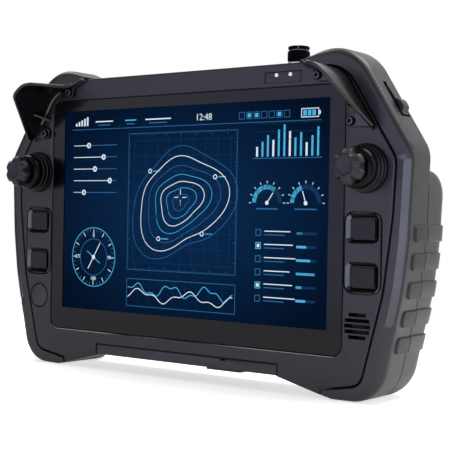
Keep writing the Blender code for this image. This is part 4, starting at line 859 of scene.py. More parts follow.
def makeBumperPads(side):
    bm = bmesh.new()
    deep = bumperSet["depth"] - padSet["front"]
    for z in padSet["levels"]:
        point, out = sideAt(outerPath, z)
        axisOut = Vector((out.x, 0, out.y))
        down = Vector((out.y, 0, -out.x))
        turned = Matrix((down, Vector((0, 1, 0)), axisOut)).transposed().to_4x4()
        seat = place(point.x, padSet["front"] + deep / 2, point.y) - axisOut * padSet["sunk"] * mm
        spread = Matrix.Diagonal((padSet["height"] * mm, deep * mm, 1, 1))
        matrix = Matrix.Translation(seat) @ turned @ spread
        done = set(bm.faces)
        plate = bmesh.ops.create_grid(bm, matrix=matrix, **unitGrid)["verts"]
        front = sorted(plate, key=lambda v: v.co.y)[:2]
        bevel(bm, front, padSet["corner"], padSet["cornerSteps"], "VERTICES")
        fresh = [f for f in bm.faces if f not in done]
        top, rim = pullFaces(bm, fresh, axisOut * (padSet["proud"] + padSet["sunk"]) * mm)
        start = min(v.co.y for v in top)
        for v in top:  # the front end slopes back
            v.co.y += padSet["slant"] * max(0.0, 1 - (v.co.y - start) / (padSet["corner"] * mm)) * mm
        bevel(bm, rim, padSet["edge"], padSet["edgeSteps"])
    bmesh.ops.recalc_face_normals(bm, faces=bm.faces)
    turnToSide(bm, side)
    addPiece(side + "BumperPads", bm, paddedOvermould, "chassis", sharp=14)


# Grips: level sections with a rounded back, and the same pads carried round them

gripSet = {
    "inner": bodyEdge - 13.0,
    "top": 25.7,
    "front": 22.6,
    "back": 53.0,
    "step": 0.4,
    "round": 17.0,
    "innerRound": 8.0,
    "most": {"width": 0.45, "depth": 0.8, "inner": 0.3},  # share of a small section that a round may take
    "crown": 15.0,
    "crownSteps": (0, 0.01, 0.04, 0.1, 0.18, 0.3, 0.45, 0.65, 0.85, 1),
    "crownBack": 12.0,
    "crownSide": 4.0,
    "heel": 17.6,
    "heelSteps": (1, 0.8, 0.6, 0.42, 0.28, 0.16, 0.08, 0.03, 0),
    "heelBack": 11.0,
    "edge": 0.7,
    "turns": 14,
    "innerTurns": 6,
    "ramp": 4.01,  # run of the slanted underside for each mm of rise
    "padRise": [(0, 0), (0.15, 0.6), (0.5, 0.9), (1, 1)],  # share of a pad's edge, and of its height there
}


def quarterFall(t):
    return 1 - math.sqrt(max(0.0, 1 - min(1.0, max(0.0, t)) ** 2))


def gripLevels():  # (height, how far the pads stand out there)
    levels = [(gripSet["top"] - gripSet["crown"] * t, 0) for t in gripSet["crownSteps"]]
    half, edge, proud, rise = padSet["height"] / 2, padSet["edge"], padSet["proud"], gripSet["padRise"]
    for z in padSet["levels"]:
        levels += [(z + half - edge * t, proud * r) for t, r in rise]
        levels += [(z, proud)]
        levels += [(z - half + edge * t, proud * r) for t, r in reversed(rise)]
    return levels + [(-lobeDrop + gripSet["heel"] * t, 0) for t in gripSet["heelSteps"]]


def gripRing(z, proud):
    crown = quarterFall(1 - (gripSet["top"] - z) / gripSet["crown"])
    heel = quarterFall(1 - (z + lobeDrop) / gripSet["heel"])
    outside = sideAt(outerPath, z)[0].x - gripSet["step"] - gripSet["crownSide"] * crown
    inside = max(gripSet["inner"], lobeInner - (z + lobeDrop) * gripSet["ramp"])
    front, edge, most = gripSet["front"], gripSet["edge"], gripSet["most"]
    back = gripSet["back"] - gripSet["crownBack"] * crown - gripSet["heelBack"] * heel
    turn = min(gripSet["round"], most["width"] * (outside - inside), most["depth"] * (back - front))
    innerTurn = min(gripSet["innerRound"], most["inner"] * (outside - inside))
    points = [(inside, front), (outside + proud - edge, front), (outside + proud, front + edge)]
    points += arc((outside - turn, back - turn), turn + proud, 0, gripSet["turns"])
    points += arc((inside + innerTurn, back - innerTurn), innerTurn, 90, gripSet["innerTurns"])
    return [place(x, y, z) for x, y in points]


def makeGrip(side):
    bm = sweep([gripRing(z, proud) for z, proud in gripLevels()])
    turnToSide(bm, side)
    # the paler grip finish paints the light that falls on the grips
    dressNode(side + "_grip", gripElastomer, sharp=24, bm=bm)


for side in sides:
    makeBumper(side)
    makeShoulderKey(side)
    makeBumperPads(side)
    makeGrip(side)
print("bumpers and grips made")


# Stick guards: a bent wall with a free edge that rises over the stick, two screw tabs and a web

guardSet = {
    "thick": 2.2,
    "line": bodyTop - 5.2,
    "fall": (0.537, -0.8435),
    "fallLength": 41.6,
    "lean": 0.107,  # the slanted side leans outwards by this share of its height
    "reach": 33.0,
    "stretch": 67.5,  # length that the heights below are given for
    "endHeight": 5.4,
    "station": 1.2,  # mm between sections
    "foot": 1.6,
    "footThick": 1.6,
    "footStart": 10.0,
    "footStub": 0.2,  # before that
    "chamfer": 0.7,
    "lift": 0.3,
    "lip": 0.9,
    "lipSteps": 4,
    "most": {"lip": 0.4, "foot": 0.5, "chamfer": 0.6},  # share of a low wall that each may take
    "clear": 0.01,  # keeps the foot's inner corner open
    "finer": 4,
    "tabThick": 2.4,
    "tabRadius": 3.4,
    "tabReach": 8.4,
    "tabEdge": 0.4,
    "tabEdgeSteps": 2,
    "tabSteps": 8,
    "tabRound": {"top": 0.95, "side": 0.9},  # share of its radius
    "topScrew": (bodyEdge - 17.6, bodyTop - 9.0),
    "sideScrew": (bodyEdge + 5.4, 53.0),
    "webPlace": 21.3,
    "webReach": 7.9,
    "webRise": 11.5,
    "webTip": 0.8,
    "webThick": 1.3,
    "polish": (-0.85, -0.5),  # normals along Y of the foot's chamfer
}
guardCorner = Vector((bodyEdge - 2.3, guardSet["line"]))
guardFall = Vector(guardSet["fall"])
guardPath = roundedPath([
    (bodyEdge - 29.5, guardSet["line"] + 5.0, 0, 0),
    (bodyEdge - 20.0, guardSet["line"], 14, 2),
    (*guardCorner, 20, 6),
    (*(guardCorner + guardFall * guardSet["fallLength"]), 0, 0),
], guardSet["finer"])
guardRise = roundedPath([  # distance along the wall, and height there
    (0, 4.2, 0, 0),
    (11.0, 6.0, 8, 2),
    (23.0, guardSet["reach"], 7, 4),
    (37.5, guardSet["reach"], 8, 4),
    (guardSet["stretch"], guardSet["endHeight"], 0, 0),
], guardSet["finer"])


def heightAt(distance):
    for a, b in zip(guardRise, guardRise[1:]):
        if a.x <= distance <= b.x and b.x > a.x:
            return a.y + (b.y - a.y) * (distance - a.x) / (b.x - a.x)
    return guardRise[-1].y


def guardRing(spot, normal, height, foot):
    half, low, most = guardSet["thick"] / 2, guardSet["lift"], guardSet["most"]
    lean = guardSet["lean"] * max(0, normal.x)
    lip = min(guardSet["lip"], most["lip"] * (height - low))
    step = low + min(guardSet["footThick"], most["foot"] * (height - low))
    chamfer = min(guardSet["chamfer"], most["chamfer"] * foot, most["chamfer"] * (step - low))
    points = [(half, low)]
    points += arc((half - lip, height - lip), lip, 0, guardSet["lipSteps"])
    points += arc((lip - half, height - lip), lip, 90, guardSet["lipSteps"])
    points += [(-half, step + guardSet["clear"]), (chamfer - half - foot, step)]
    points += [(-half - foot, step - chamfer), (-half - foot, low)]
    leaning = [(spot + normal * (n + lean * h), h) for n, h in points]
    return [place(p.x, -h, p.y) for p, h in leaning]


def addTab(bm, corners):  # flat plate from an outline on the face, with a broken front edge
    low, thick = guardSet["lift"], guardSet["tabThick"]
    loop, edges = outlineEdges(bm, [place(p.x, -low, p.y) for p in roundedPath(corners, 1)])
    plate = bmesh.ops.edgeloop_fill(bm, edges=edges)["faces"]
    top, rim = pullFaces(bm, plate, (0, -thick * mm, 0))
    bevel(bm, rim, guardSet["tabEdge"], guardSet["tabEdgeSteps"])


def addTabs(bm):
    r, wall, steps = guardSet["tabRadius"], guardSet["line"], guardSet["tabSteps"]
    x, z = guardSet["topScrew"]
    end, turn = x + guardSet["tabReach"], guardSet["tabRound"]["top"] * r
    corners = [(x - r, wall, 0, 0), (x - r, z - r, turn, steps)]
    addTab(bm, corners + [(end, z - r, 0, 0), (end, wall, 0, 0)])
    x, z = guardSet["sideScrew"]
    run, turn = guardFall.x / guardFall.y, guardSet["tabRound"]["side"] * r
    foot, head = (guardCorner.x + (level - wall) * run for level in (z - r, z + 2 * r))
    corners = [(x - r, z - r, turn, steps), (foot, z - r, 0, 0)]
    addTab(bm, corners + [(head, z + 2 * r, 0, 0), (x - r, z + r, turn, steps)])


def addWeb(bm):
    spot = guardCorner + guardFall * guardSet["webPlace"]
    inwards = Vector((guardFall.y, -guardFall.x))
    thick = guardFall * guardSet["webThick"] / 2
    low, high = guardSet["lift"], guardSet["webRise"]
    rings = []
    for base in (spot - thick, spot + thick):
        tip = base + inwards * guardSet["webReach"]
        rise = base + inwards * guardSet["thick"] / 2
        corners = [(base, low), (tip, low), (tip, low + guardSet["webTip"]), (rise, high), (base, high)]
        rings.append([place(p.x, -h, p.y) for p, h in corners])
    web = sweep(rings)
    mesh = bpy.data.meshes.new("web")
    web.to_mesh(mesh)
    web.free()
    bm.from_mesh(mesh)
    bpy.data.meshes.remove(mesh)


def makeGuard(side):
    total = pathSteps(guardPath)
    length = total[-1]
    count = round(length / guardSet["station"])
    rings = []
    for k in range(count + 1):
        distance = length * k / count
        spot, normal = pointAlong(guardPath, total, distance)
        foot = guardSet["foot"] if distance > guardSet["footStart"] else guardSet["footStub"]
        rings.append(guardRing(spot, normal, heightAt(distance * guardSet["stretch"] / length), foot))
    bm = sweep(rings)
    addTabs(bm)
    addWeb(bm)
    bmesh.ops.recalc_face_normals(bm, faces=bm.faces)
    turnToSide(bm, side)
    piece = dressNode(side + "_stick_guard", nylonGuard, sharp=30, bm=bm)
    foot = faceY - (guardSet["lift"] + guardSet["footThick"] + guardSet["clear"]) * mm
    least, most = guardSet["polish"]
    # the foot's chamfer gets a painted highlight
    paintFaces(piece, polishedNylon, lambda f: f.center.y > foot and least < f.normal.y < most)


for side in sides:
    makeGuard(side)
print("guards made")


# Knob: a ridged body, a pale ring in the groove under its top, and a pointer line

knobSet = {
    "radius": 6.8,
    "height": 9.2,
    "ridges": 30,
    "ridge": 0.3,
    "ridgeBand": 0.05,  # mm within which a vertex is on the ridges
    "groove": 0.8,
    "profile": [  # which radius, and share of the height
        ("side", 0), ("side", 0.04), ("ridge", 0.08), ("ridge", 0.6),
        ("side", 0.65), ("groove", 0.67), ("groove", 0.79), ("side", 0.81),
    ],
    "ring": (-0.2, 0.15),  # mm in and out from the groove's floor
    "ringSpan": (0.71, 0.75),
    "ringSteps": 64,
    "edge": 0.6,
    "steps": 120,
    "pointer": (0.5, 0.2, 0.2),  # mm wide, share of the height, mm sunk
    "pointerMiddle": 0.88,
    "aim": 30,  # degrees the pointer is turned towards the user's right
}


def makeKnob():
    low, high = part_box("rotary_knob")
    centre = (low + high) / 2
    boxTall = high.z - low.z
    radius, tall, edge = knobSet["radius"], knobSet["height"], knobSet["edge"]
    side, groove, between = radius - knobSet["ridge"], radius - knobSet["groove"], cornerMiddle * edge
    radii = {"ridge": radius, "side": side, "groove": groove}
    profile = [(0, 0)] + [(radii[kind], share) for kind, share in knobSet["profile"]]
    profile += [(side, 1 - edge / tall), (side - between, 1 - between / tall), (side - edge, 1), (0, 1)]
    bm = spun([(r * mm, low.z + h * boxTall) for r, h in profile], centre, "Z", knobSet["steps"])
    for v in bm.verts:
        flat = Vector((v.co.x - centre.x, v.co.y - centre.y))
        if flat.length > (radius - knobSet["ridgeBand"]) * mm:
            wave = math.cos(knobSet["ridges"] * math.atan2(flat.y, flat.x))
            dip = flat.normalized() * knobSet["ridge"] * mm * max(0.0, wave)
            v.co.x -= dip.x
            v.co.y -= dip.y
    dressNode("rotary_knob", acetalKnob, sharp=35, bm=bm)
    inner, outer = ((groove + reach) * mm for reach in knobSet["ring"])
    floor, roof = (low.z + share * boxTall for share in knobSet["ringSpan"])
    bm = spun(ringProfile(inner, outer, floor, roof), centre, "Z", knobSet["ringSteps"])
    addPiece("knobRing", bm, ringPaint, "knob")
    bm = bmesh.new()
    wide, share, sunk = knobSet["pointer"]
    size = Matrix.Diagonal((wide * mm, wide * mm, share * boxTall, 1))
    front = Vector((0, -(side - sunk) * mm, low.z + knobSet["pointerMiddle"] * boxTall - centre.z))
    aim = Matrix.Translation(centre) @ Matrix.Rotation(math.radians(knobSet["aim"]), 4, "Z")
    bmesh.ops.create_cube(bm, size=1, matrix=aim @ Matrix.Translation(front) @ size)
    addPiece("knobPointer", bm, ringPaint, "knob")


makeKnob()
print("knob made")


# Screws with a hexagon socket whose hollow is painted in shade, and a black ring of painted shade round
# those of the guards

screwSet = {  # mm
    "head": 1.8,
    "shank": 0.55,  # share of the head's radius
    "edge": 0.35,
    "socket": 1.25,
    "socketDepth": 1.2,
    "socketMouth": 0.15,
    "socketFlare": 1.15,  # share of its radius at the mouth, and of its depth in the middle
    "socketDark": 1.02,  # share of its radius that is in shade
    "steps": 28,
    "seatWidth": 0.8,
    "seatRise": 0.1,
    "seatSteps": 32,
}


def makeScrew(node):
    low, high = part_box(node)
    centre = (low + high) / 2
    radius = (high.x - low.x) / 2
    shank = screwSet["shank"] * radius
    facesFront = centre.y < middle.y
    tip, end = (low.y, high.y) if facesFront else (high.y, low.y)
    inwards = mm if facesFront else -mm
    seat = tip + screwSet["head"] * inwards
    edge, between = screwSet["edge"], cornerMiddle * screwSet["edge"]
    socket, deep, flare = screwSet["socket"] * mm, screwSet["socketDepth"], screwSet["socketFlare"]
    profile = [(0, end), (shank, end), (shank, seat), (radius, seat), (radius, tip + edge * inwards)]
    profile += [(radius - between * mm, tip + between * inwards), (radius - edge * mm, tip)]
    profile += [(flare * socket, tip), (socket, tip + screwSet["socketMouth"] * inwards)]
    profile += [(socket, tip + deep * inwards), (0, tip + flare * deep * inwards)]
    bm = spun(profile, centre, "Y", screwSet["steps"])
    piece = dressNode(node, blackSteel, sharp=30, bm=bm)
    hollow = screwSet["socketDark"] * socket

    # the socket's hollow is painted in shade
    def inSocket(face):
        return math.hypot(face.center.x - centre.x, face.center.z - centre.z) < hollow

    paintFaces(piece, bootRubberAndShade, inSocket)
    # a thin black ring, flush with the tab, paints the shade round the guards' screws
    if "guard" in node:
        outer = radius + screwSet["seatWidth"] * mm
        ring = ringProfile(radius, outer, seat, seat - screwSet["seatRise"] * mm)
        bm = spun(ring, centre, "Y", screwSet["seatSteps"])
        addPiece(camel(node) + "Seat", bm, bootRubberAndShade, "chassis")


screwNodes = [node for node in frame["nodes"] if "screw" in node]
for node in screwNodes:
    makeScrew(node)
print("screws made:", len(screwNodes))


# Stick caps: six lobes parted by rounded notches, round a shallow dish

capSet = {
    "lobes": 6,
    "notch": [  # degrees from a notch's middle, share of its depth
        (0, 1), (5, 0.95), (9, 0.7), (12, 0.3), (15, 0.08), (18, 0), (24, 0), (30, 0),
    ],
    "levels": [  # radius, depth of the notches, height over the face
        (6.4, 0.0, 14.0), (7.7, 0.4, 14.7), (8.6, 1.1, 15.8), (9.6, 2.0, 17.0),
        (10.25, 2.7, 18.2), (10.5, 2.9, 19.2), (10.4, 2.8, 20.2), (10.0, 2.6, 21.2),
        (9.3, 2.2, 22.1), (8.4, 1.6, 22.9), (7.4, 0.9, 23.5), (6.3, 0.3, 23.9),
        (5.1, 0.0, 24.0), (4.8, 0.0, 23.85), (4.5, 0.0, 23.5), (4.0, 0.0, 23.4),
    ],
}


def capRing(centre, radius, notch, height):
    pitch = 360 / capSet["lobes"]
    falling = capSet["notch"]
    rising = [(pitch - turn, share) for turn, share in reversed(falling[1:-1])]
    points = []
    for lobe in range(capSet["lobes"]):
        for turn, share in falling + rising:
            a = math.radians(pitch * lobe + turn)
            reach = (radius - notch * share) * mm
            x, z = centre.x + reach * math.cos(a), centre.z + reach * math.sin(a)
            points.append((x, faceY - height * mm, z))
    return points


def makeCap(side):
    node = side + "_stick_cap"
    low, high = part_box(node)
    bm = sweep([capRing((low + high) / 2, *level) for level in capSet["levels"]])
    dressNode(node, capElastomer, sharp=40, bm=bm)


# Bellows boots: a lower part with the rings and an upper cone, made as two pieces

bootSet = {
    "steps": 72,
    "rings": 3,
    "pitch": 2.6,  # mm between rings
    "depth": 2.2,
    "fullness": 1.2,  # above 1 the valleys are narrower than a sine's
    "taper": 0.7,
    "topRadius": 8.6,
    "foot": 0.3,  # height over the face
    "first": 1.6,  # height of the first crest
    "domeSteps": 9,
    "wall": 0.9,
    "wallDrop": 0.2,  # share of the wall that the inside lies lower
    "split": 9.4,  # height where the lower half ends
    "neck": 3.0,
    "waveSteps": 6,  # points on each half wave
    "rubbed": 0.6,  # depth of the band of painted highlight on each crest
    "rubbedFrom": 0.5,  # rings above the first crest
}


def bootOutline(low, high):  # (radius, height over the face) in mm
    height = (high.y - low.y) / mm
    radius = (high.x - low.x) / 2 / mm
    first, foot, top = bootSet["first"], bootSet["foot"], bootSet["topRadius"]
    points = [(radius, foot), (radius, first)]
    steps = 2 * bootSet["waveSteps"]
    for k in range(1, bootSet["rings"] * steps + 1):
        dip = abs(math.sin(math.pi * k / steps)) ** bootSet["fullness"] * bootSet["depth"]
        points.append((radius - bootSet["taper"] * k / steps - dip, first + bootSet["pitch"] * k / steps))
    crest, level = points[-1]
    for k in range(1, bootSet["domeSteps"] + 1):
        a = math.radians(90 * k / bootSet["domeSteps"])
        reach = top + (crest - top) * math.cos(a)
        points.append((reach, level + (height + foot - level) * math.sin(a)))
    return points + [(bootSet["neck"], height + foot)]


def onCrest(point, centre, radius):
    height = (faceY - point.y) / mm
    reach = math.hypot(point.x - centre.x, point.z - centre.z) / mm
    wave = (height - bootSet["first"]) / bootSet["pitch"]
    outside = radius - bootSet["taper"] * wave - bootSet["rubbed"]
    return wave > bootSet["rubbedFrom"] and reach > outside


def makeBoot(side):
    node = side + "_stick_boot"
    low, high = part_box(node)
    centre = (low + high) / 2
    outline = bootOutline(low, high)
    radius, wall = outline[0][0], bootSet["wall"]
    drop = bootSet["wallDrop"] * wall
    split = next(i for i, (r, h) in enumerate(outline) if h >= bootSet["split"])
    foot = Vector((centre.x, faceY - bootSet["foot"] * mm, centre.z))
    waist = Vector((centre.x, faceY - outline[split][1] * mm, centre.z))
    top = Vector((centre.x, low.y, centre.z))
    halves = [
        ("BootRings", outline[: split + 1], "chassis", side + "_ring", foot, waist),
        ("BootCone", outline[split:], side + "_ring", side + "_stick", waist, top),
    ]
    for suffix, part, a, b, start, end in halves:
        inside = [(max(r - wall, bootSet["neck"]), h - drop) for r, h in reversed(part)]
        loop = part + [p for p in inside if p not in part] + part[:1]
        bm = spun([(r * mm, faceY - h * mm) for r, h in loop], centre, "Y", bootSet["steps"])
        piece = addPiece(side + suffix, bm, bootRubberAndShade, sharp=60)
        if suffix == "BootRings":
            # the crests get a painted highlight
            paintFaces(piece, crestSheenSilicone, lambda face: onCrest(face.center, centre, radius))
        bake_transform(piece)
        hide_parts(node)


for side in sides:
    makeCap(side)
    makeBoot(side)
print("sticks made")


# Cover glass: a printed border, a clear window, and the lit screen behind it

screenSet = {
    "width": 216.96,  # mm, the lit area
    "height": 135.6,
    "corner": 6.0,
    "cornerSteps": 10,
    "glassFront": 0.5,  # behind the face
    "glassThick": 1.6,
    "clearThick": 0.7,
    "clearance": 0.02,
    "imageDepth": 1.45,
    "imageThick": 0.3,
    "glow": 0.62,  # reach of the brighter middle, as a share of the lit area
    "colors": ("031126", "0c2c52"),  # at the edge and in the middle
}


def addPlate(bm, low, high, depth):  # flat plate seen from the front
    size = high - low
    centre = Vector(((low.x + high.x) / 2, depth, (low.z + high.z) / 2))
    matrix = Matrix.Translation(centre) @ upright @ Matrix.Diagonal((size.x, size.z, 1, 1))
    return bmesh.ops.create_grid(bm, matrix=matrix, **unitGrid)["verts"]


def thicken(bm, thick):  # pulls flat plates back from the user
    pullFaces(bm, list(bm.faces), (0, thick * mm, 0))
    bmesh.ops.recalc_face_normals(bm, faces=bm.faces)
    return bm


# Bonded glass with an anti-reflection coat: clear, so its index is set low to keep the screen dark
def clearGlass():
    clear = {"Transmission Weight": 1.0, "IOR": 1.03, "Roughness": 0.0, "Base Color": hexColor("f4f8fb")}
    return newMaterial("coatedGlass", clear)[0]


# Lit field of the screen: deep blue, brighter in the middle
def litField():
    unlit = {"Base Color": hexColor("000000"), "Roughness": 0.4, "Specular IOR Level": 0.0}
    material, tree, shader = newMaterial("litField", {**unlit, "Emission Strength": 1.0})
    where = addNode(tree, "ShaderNodeTexCoord").outputs["Object"]
    wide, high = (1 / (screenSet[size] * screenSet["glow"] * mm) for size in ("width", "height"))
    fitted = {"Vector": where, "Location": (0, 0, -middle.z * high), "Scale": (wide, 0, high)}
    centred = addNode(tree, "ShaderNodeMapping", fitted).outputs["Vector"]
    glow = addNode(tree, "ShaderNodeTexGradient", {"Vector": centred}, gradient_type="SPHERICAL")
    ramp = addNode(tree, "ShaderNodeValToRGB", {"Fac": glow.outputs["Fac"]})
    for stop, code in zip(ramp.color_ramp.elements, screenSet["colors"]):
        stop.color = hexColor(code)
    setInputs(tree, shader, {"Emission Color": ramp.outputs["Color"]})
    return material


def makeGlass():
    half = Vector((screenSet["width"] / 2 * mm, 0, screenSet["height"] / 2 * mm))
    low, high = Vector((0, 0, middle.z)) - half, Vector((0, 0, middle.z)) + half
    front = faceY + screenSet["glassFront"] * mm
    bm = bmesh.new()
    corners = addPlate(bm, glassLow, glassHigh, front)
    bevel(bm, corners, screenSet["corner"], screenSet["cornerSteps"], "VERTICES")
    addPlate(bm, low, high, front)
    bmesh.ops.delete(bm, geom=list(bm.faces), context="FACES_ONLY")
    bmesh.ops.bridge_loops(bm, edges=bm.edges)
    thicken(bm, screenSet["glassThick"])
    addPiece("coverGlassBorder", bm, printedGlass, "chassis", ["display_glass"], 30)
    low, high = grown((low, high), -screenSet["clearance"])
    bm = bmesh.new()
    addPlate(bm, low, high, front)
    thicken(bm, screenSet["clearThick"])
    addPiece("coverGlassWindow", bm, clearGlass(), "chassis", ["display_glass"], 30)
    bm = bmesh.new()
    addPlate(bm, low, high, faceY + screenSet["imageDepth"] * mm)
    thicken(bm, screenSet["imageThick"])
    addPiece("screenField", bm, litField(), "chassis", sharp=30)


makeGlass()
print("glass and screen field made")


# Generic read-outs on the screen: thin lit marks in four tones, laid out in mm from the display's middle

markSet = {
    "depth": 1.4,  # mm behind the face
    "thick": 0.03,
    "tones": {"bright": "e4edf5", "cyan": "4db6e2", "blue": "2f6a9c", "dim": "14365a"},
}
marks = {tone: bmesh.new() for tone in markSet["tones"]}


def onScreen(u, v):
    return place(u, markSet["depth"], v)


def around(u, v, radius, angle):  # a place on a circle, angle in degrees
    a = math.radians(angle)
    return u + radius * math.cos(a), v + radius * math.sin(a)


def addBar(tone, u, v, width, height, turn=0.0):
    spread = Matrix.Diagonal((width * mm, height * mm, 1, 1))
    spin = Matrix.Rotation(math.radians(turn), 4, "Z")
    matrix = Matrix.Translation(onScreen(u, v)) @ upright @ spin @ spread
    bmesh.ops.create_grid(marks[tone], matrix=matrix, **unitGrid)


def addRing(tone, u, v, inner, outer, start=0.0, reach=360.0, steps=48):
    bm = marks[tone]
    centre = onScreen(u, v)
    aim = Matrix.Rotation(math.radians(-start), 3, "Y") @ Vector((1, 0, 0))
    verts = [bm.verts.new(centre + aim * r * mm) for r in (outer, inner)]
    edge = bm.edges.new(verts)
    turn = {"cent": centre, "axis": (0, -1, 0), "angle": math.radians(reach)}
    bmesh.ops.spin(bm, geom=verts + [edge], steps=steps, use_merge=reach >= 360, **turn)


def addLine(tone, points, width):
    for (u0, v0), (u1, v1) in zip(points, points[1:]):
        length = math.hypot(u1 - u0, v1 - v0)
        turn = math.degrees(math.atan2(v1 - v0, u1 - u0))
        addBar(tone, (u0 + u1) / 2, (v0 + v1) / 2, length + width / 2, width, turn)


def addFrame(tone, u, v, width, height, line):
    for sign in (-1, 1):
        addBar(tone, u, v + sign * height / 2, width + line, line)
        addBar(tone, u + sign * width / 2, v, line, height - line)


def addDigits(tone, text, u, v, size):
    curve = bpy.data.curves.new("digits", "FONT")
    curve.body = text
    curve.size = size * mm
    curve.align_x = "CENTER"
    curve.align_y = "CENTER"
    maker = bpy.data.objects.new("digits", curve)
    mesh = bpy.data.meshes.new_from_object(maker)
    mesh.transform(Matrix.Translation(onScreen(u, v)) @ upright)
    marks[tone].from_mesh(mesh)
    bpy.data.objects.remove(maker)
    bpy.data.curves.remove(curve)
    bpy.data.meshes.remove(mesh)


def drawContours():  # height lines of a made-up hill, with a survey grid behind
    u, v = -4, 6
    for k in range(-4, 5):
        addBar("dim", u + k * 10, v, 0.35, 84)
        addBar("dim", u, v + k * 10, 84, 0.35)
    for i, size in enumerate((6, 11, 16, 21, 27, 33, 39)):
        points = []
        for k in range(73):
            a = 2 * math.pi * k / 72
            wave = 0.16 * math.sin(2 * a + 0.5) + 0.09 * math.sin(3 * a + i * 0.35) + 0.04 * math.sin(5 * a)
            reach = size * (1 + wave)
            points.append((u + reach * math.cos(a), v + 0.92 * reach * math.sin(a)))
        tone = "bright" if i in (2, 5) else "cyan" if i % 2 else "blue"
        addLine(tone, points, 0.5 if i in (2, 5) else 0.35)
    for sign in (-1, 1):
        addBar("bright", u + 3.4 * sign, v + 3, 3.4, 0.5)
        addBar("bright", u, v + 3 + 3.4 * sign, 0.5, 3.4)
    for pointU, pointV in ((-30, 26), (14, -14), (24, 22), (-22, -18)):
        addRing("bright", pointU, pointV, 1.0, 1.6, steps=20)
        addBar("cyan", pointU + 5.5, pointV, 6, 0.7)
    addFrame("blue", u, v, 90, 90, 0.3)
    for k in range(-17, 18):
        long = 2.2 if k % 5 == 0 else 1.1
        for sign in (-1, 1):
            addBar("blue", u + 2.5 * k, v + sign * (45 - long / 2), 0.3, long)
            addBar("blue", u + sign * (45 - long / 2), v + 2.5 * k, long, 0.3)


def drawBars():  # bar chart, top right
    for i, tall in enumerate((6, 9, 13, 10, 16, 19, 15, 11, 14, 8, 12, 17)):
        addBar("cyan" if i % 3 else "bright", 56 + i * 4, 34 + tall / 2, 1.4, tall)
    addBar("blue", 78, 33, 50, 0.5)
    for k in range(4):
        addBar("dim", 78, 39 + k * 5, 50, 0.3)


def drawGauges():  # two half-round gauges on the right
    v = 6
    for u, share in ((64, 0.7), (92, 0.4)):
        addRing("dim", u, v, 8.2, 11.0, 0, 180, 28)
        addRing("cyan", u, v, 8.2, 11.0, 180 - 180 * share, 180 * share, 24)
        for k in range(9):
            addBar("bright", *around(u, v, 12.6, 22.5 * k), 1.6, 0.45, 22.5 * k)
        addLine("bright", [(u, v), around(u, v, 7.4, 180 - 180 * share)], 0.6)
        addRing("bright", u, v, 0, 1.3, steps=18)
        addBar("blue", u, v - 3.6, 16, 0.8)


def drawList():  # rows of settings, lower right
    for i in range(6):
        v = -12 - i * 8
        addFrame("cyan" if i in (1, 4) else "blue", 58, v, 3.6, 3.6, 0.5)
        if i in (1, 4):
            addBar("bright", 58, v, 2.0, 2.0)
        addBar("bright", 72 + (i % 3), v + 0.9, 19 + 2 * (i % 3), 0.6)
        addBar("blue", 70, v - 1.3, 15, 0.6)
        addBar("dim", 93, v, 14, 1.5)
        filled = 2 + i % 4 * 1.5
        addBar("cyan", 86 + filled, v, 2 * filled, 1.5)


def drawSliders():  # level slides, upper left
    for i, share in enumerate((0.35, 0.7, 0.5, 0.85, 0.25)):
        v = 44 - i * 8
        addBar("blue", -80, v, 40, 0.5)
        addBar("bright", -100 + 20 * share, v, 40 * share, 0.5)
        addRing("bright", -100 + 40 * share, v, 0.9, 1.9, steps=22)
        for k in range(9):
            addBar("dim", -100 + 5 * k, v - 2.3, 0.35, 1.2)


def drawCompass():  # bearing dial, lower left
    u, v = -80, -32
    addRing("cyan", u, v, 19.7, 20.2, steps=72)
    addRing("blue", u, v, 12.2, 12.6, steps=56)
    for k in range(36):
        tone, radius, long = ("blue", 18.2, 1.6) if k % 3 else ("bright", 17.4, 3.2)
        addBar(tone, *around(u, v, radius, 10 * k), long, 0.5, 10 * k)
    for k, text in enumerate(("0", "90", "180", "270")):
        addDigits("bright", text, *around(u, v, 14.6, 90 - 90 * k), 3.4)
    addLine("bright", [(u - 5, v - 8), (u + 6, v + 9.6)], 0.6)
    addLine("cyan", [(u + 6, v - 4), (u - 6, v + 4)], 0.5)
    addRing("bright", u, v, 0, 1.5, steps=20)


def drawTrace():  # two traces in a ruled strip, bottom
    v = -54
    addFrame("blue", -4, v, 90, 18, 0.4)
    for k in range(1, 9):
        addBar("dim", -49 + k * 10, v, 0.3, 17)
    for tone, lift, rate in (("cyan", 2.2, 0.31), ("bright", -1.6, 0.22)):
        points = []
        for k in range(61):
            wave = 3.2 * math.sin(k * rate) + 1.4 * math.sin(k * rate * 2.7 + lift)
            points.append((-48 + k * 1.45, v + lift + wave))
        addLine(tone, points, 0.55)


def drawHeader():  # status strip along the top
    v = 59.4
    addBar("blue", 0, 55, 204, 0.4)
    for i in range(5):
        addBar("bright", -98 + i * 2.6, 58.4 + 0.5 * i, 1.5, 2 + i)
    for i, wide in enumerate((16, 10, 22)):
        addBar("cyan" if i == 1 else "bright", -72 + i * 24, 60, wide, 0.8)
        addBar("blue", -72 + i * 24, 57.6, wide * 0.7, 0.7)
    addDigits("bright", "12:48", 14, 59.6, 6.0)
    addFrame("bright", 94, v, 12, 5, 0.5)
    addBar("bright", 100.9, v, 1.0, 2.2)
    for k in range(3):
        addBar("cyan", 90.4 + 3.2 * k, v, 2.4, 3.4)
    for k in range(7):
        addFrame("blue", 44 + 5.6 * k, v, 4, 4, 0.4)
        if k in (1, 2, 5):
            addBar("cyan", 44 + 5.6 * k, v, 2.4, 2.4)


def makeMarks():
    for tone, bm in marks.items():
        name = tone.capitalize()
        lit = {"Emission Color": hexColor(markSet["tones"][tone]), "Emission Strength": 1.0}
        unlit = {"Base Color": hexColor("000000"), "Specular IOR Level": 0.0}
        material = newMaterial("litMark" + name, {**unlit, **lit})[0]
        piece = addPiece("screenMarks" + name, bm, material, "chassis")
        back = piece.modifiers.new("back", "SOLIDIFY")
        back.thickness = markSet["thick"] * mm
        back.offset = -1


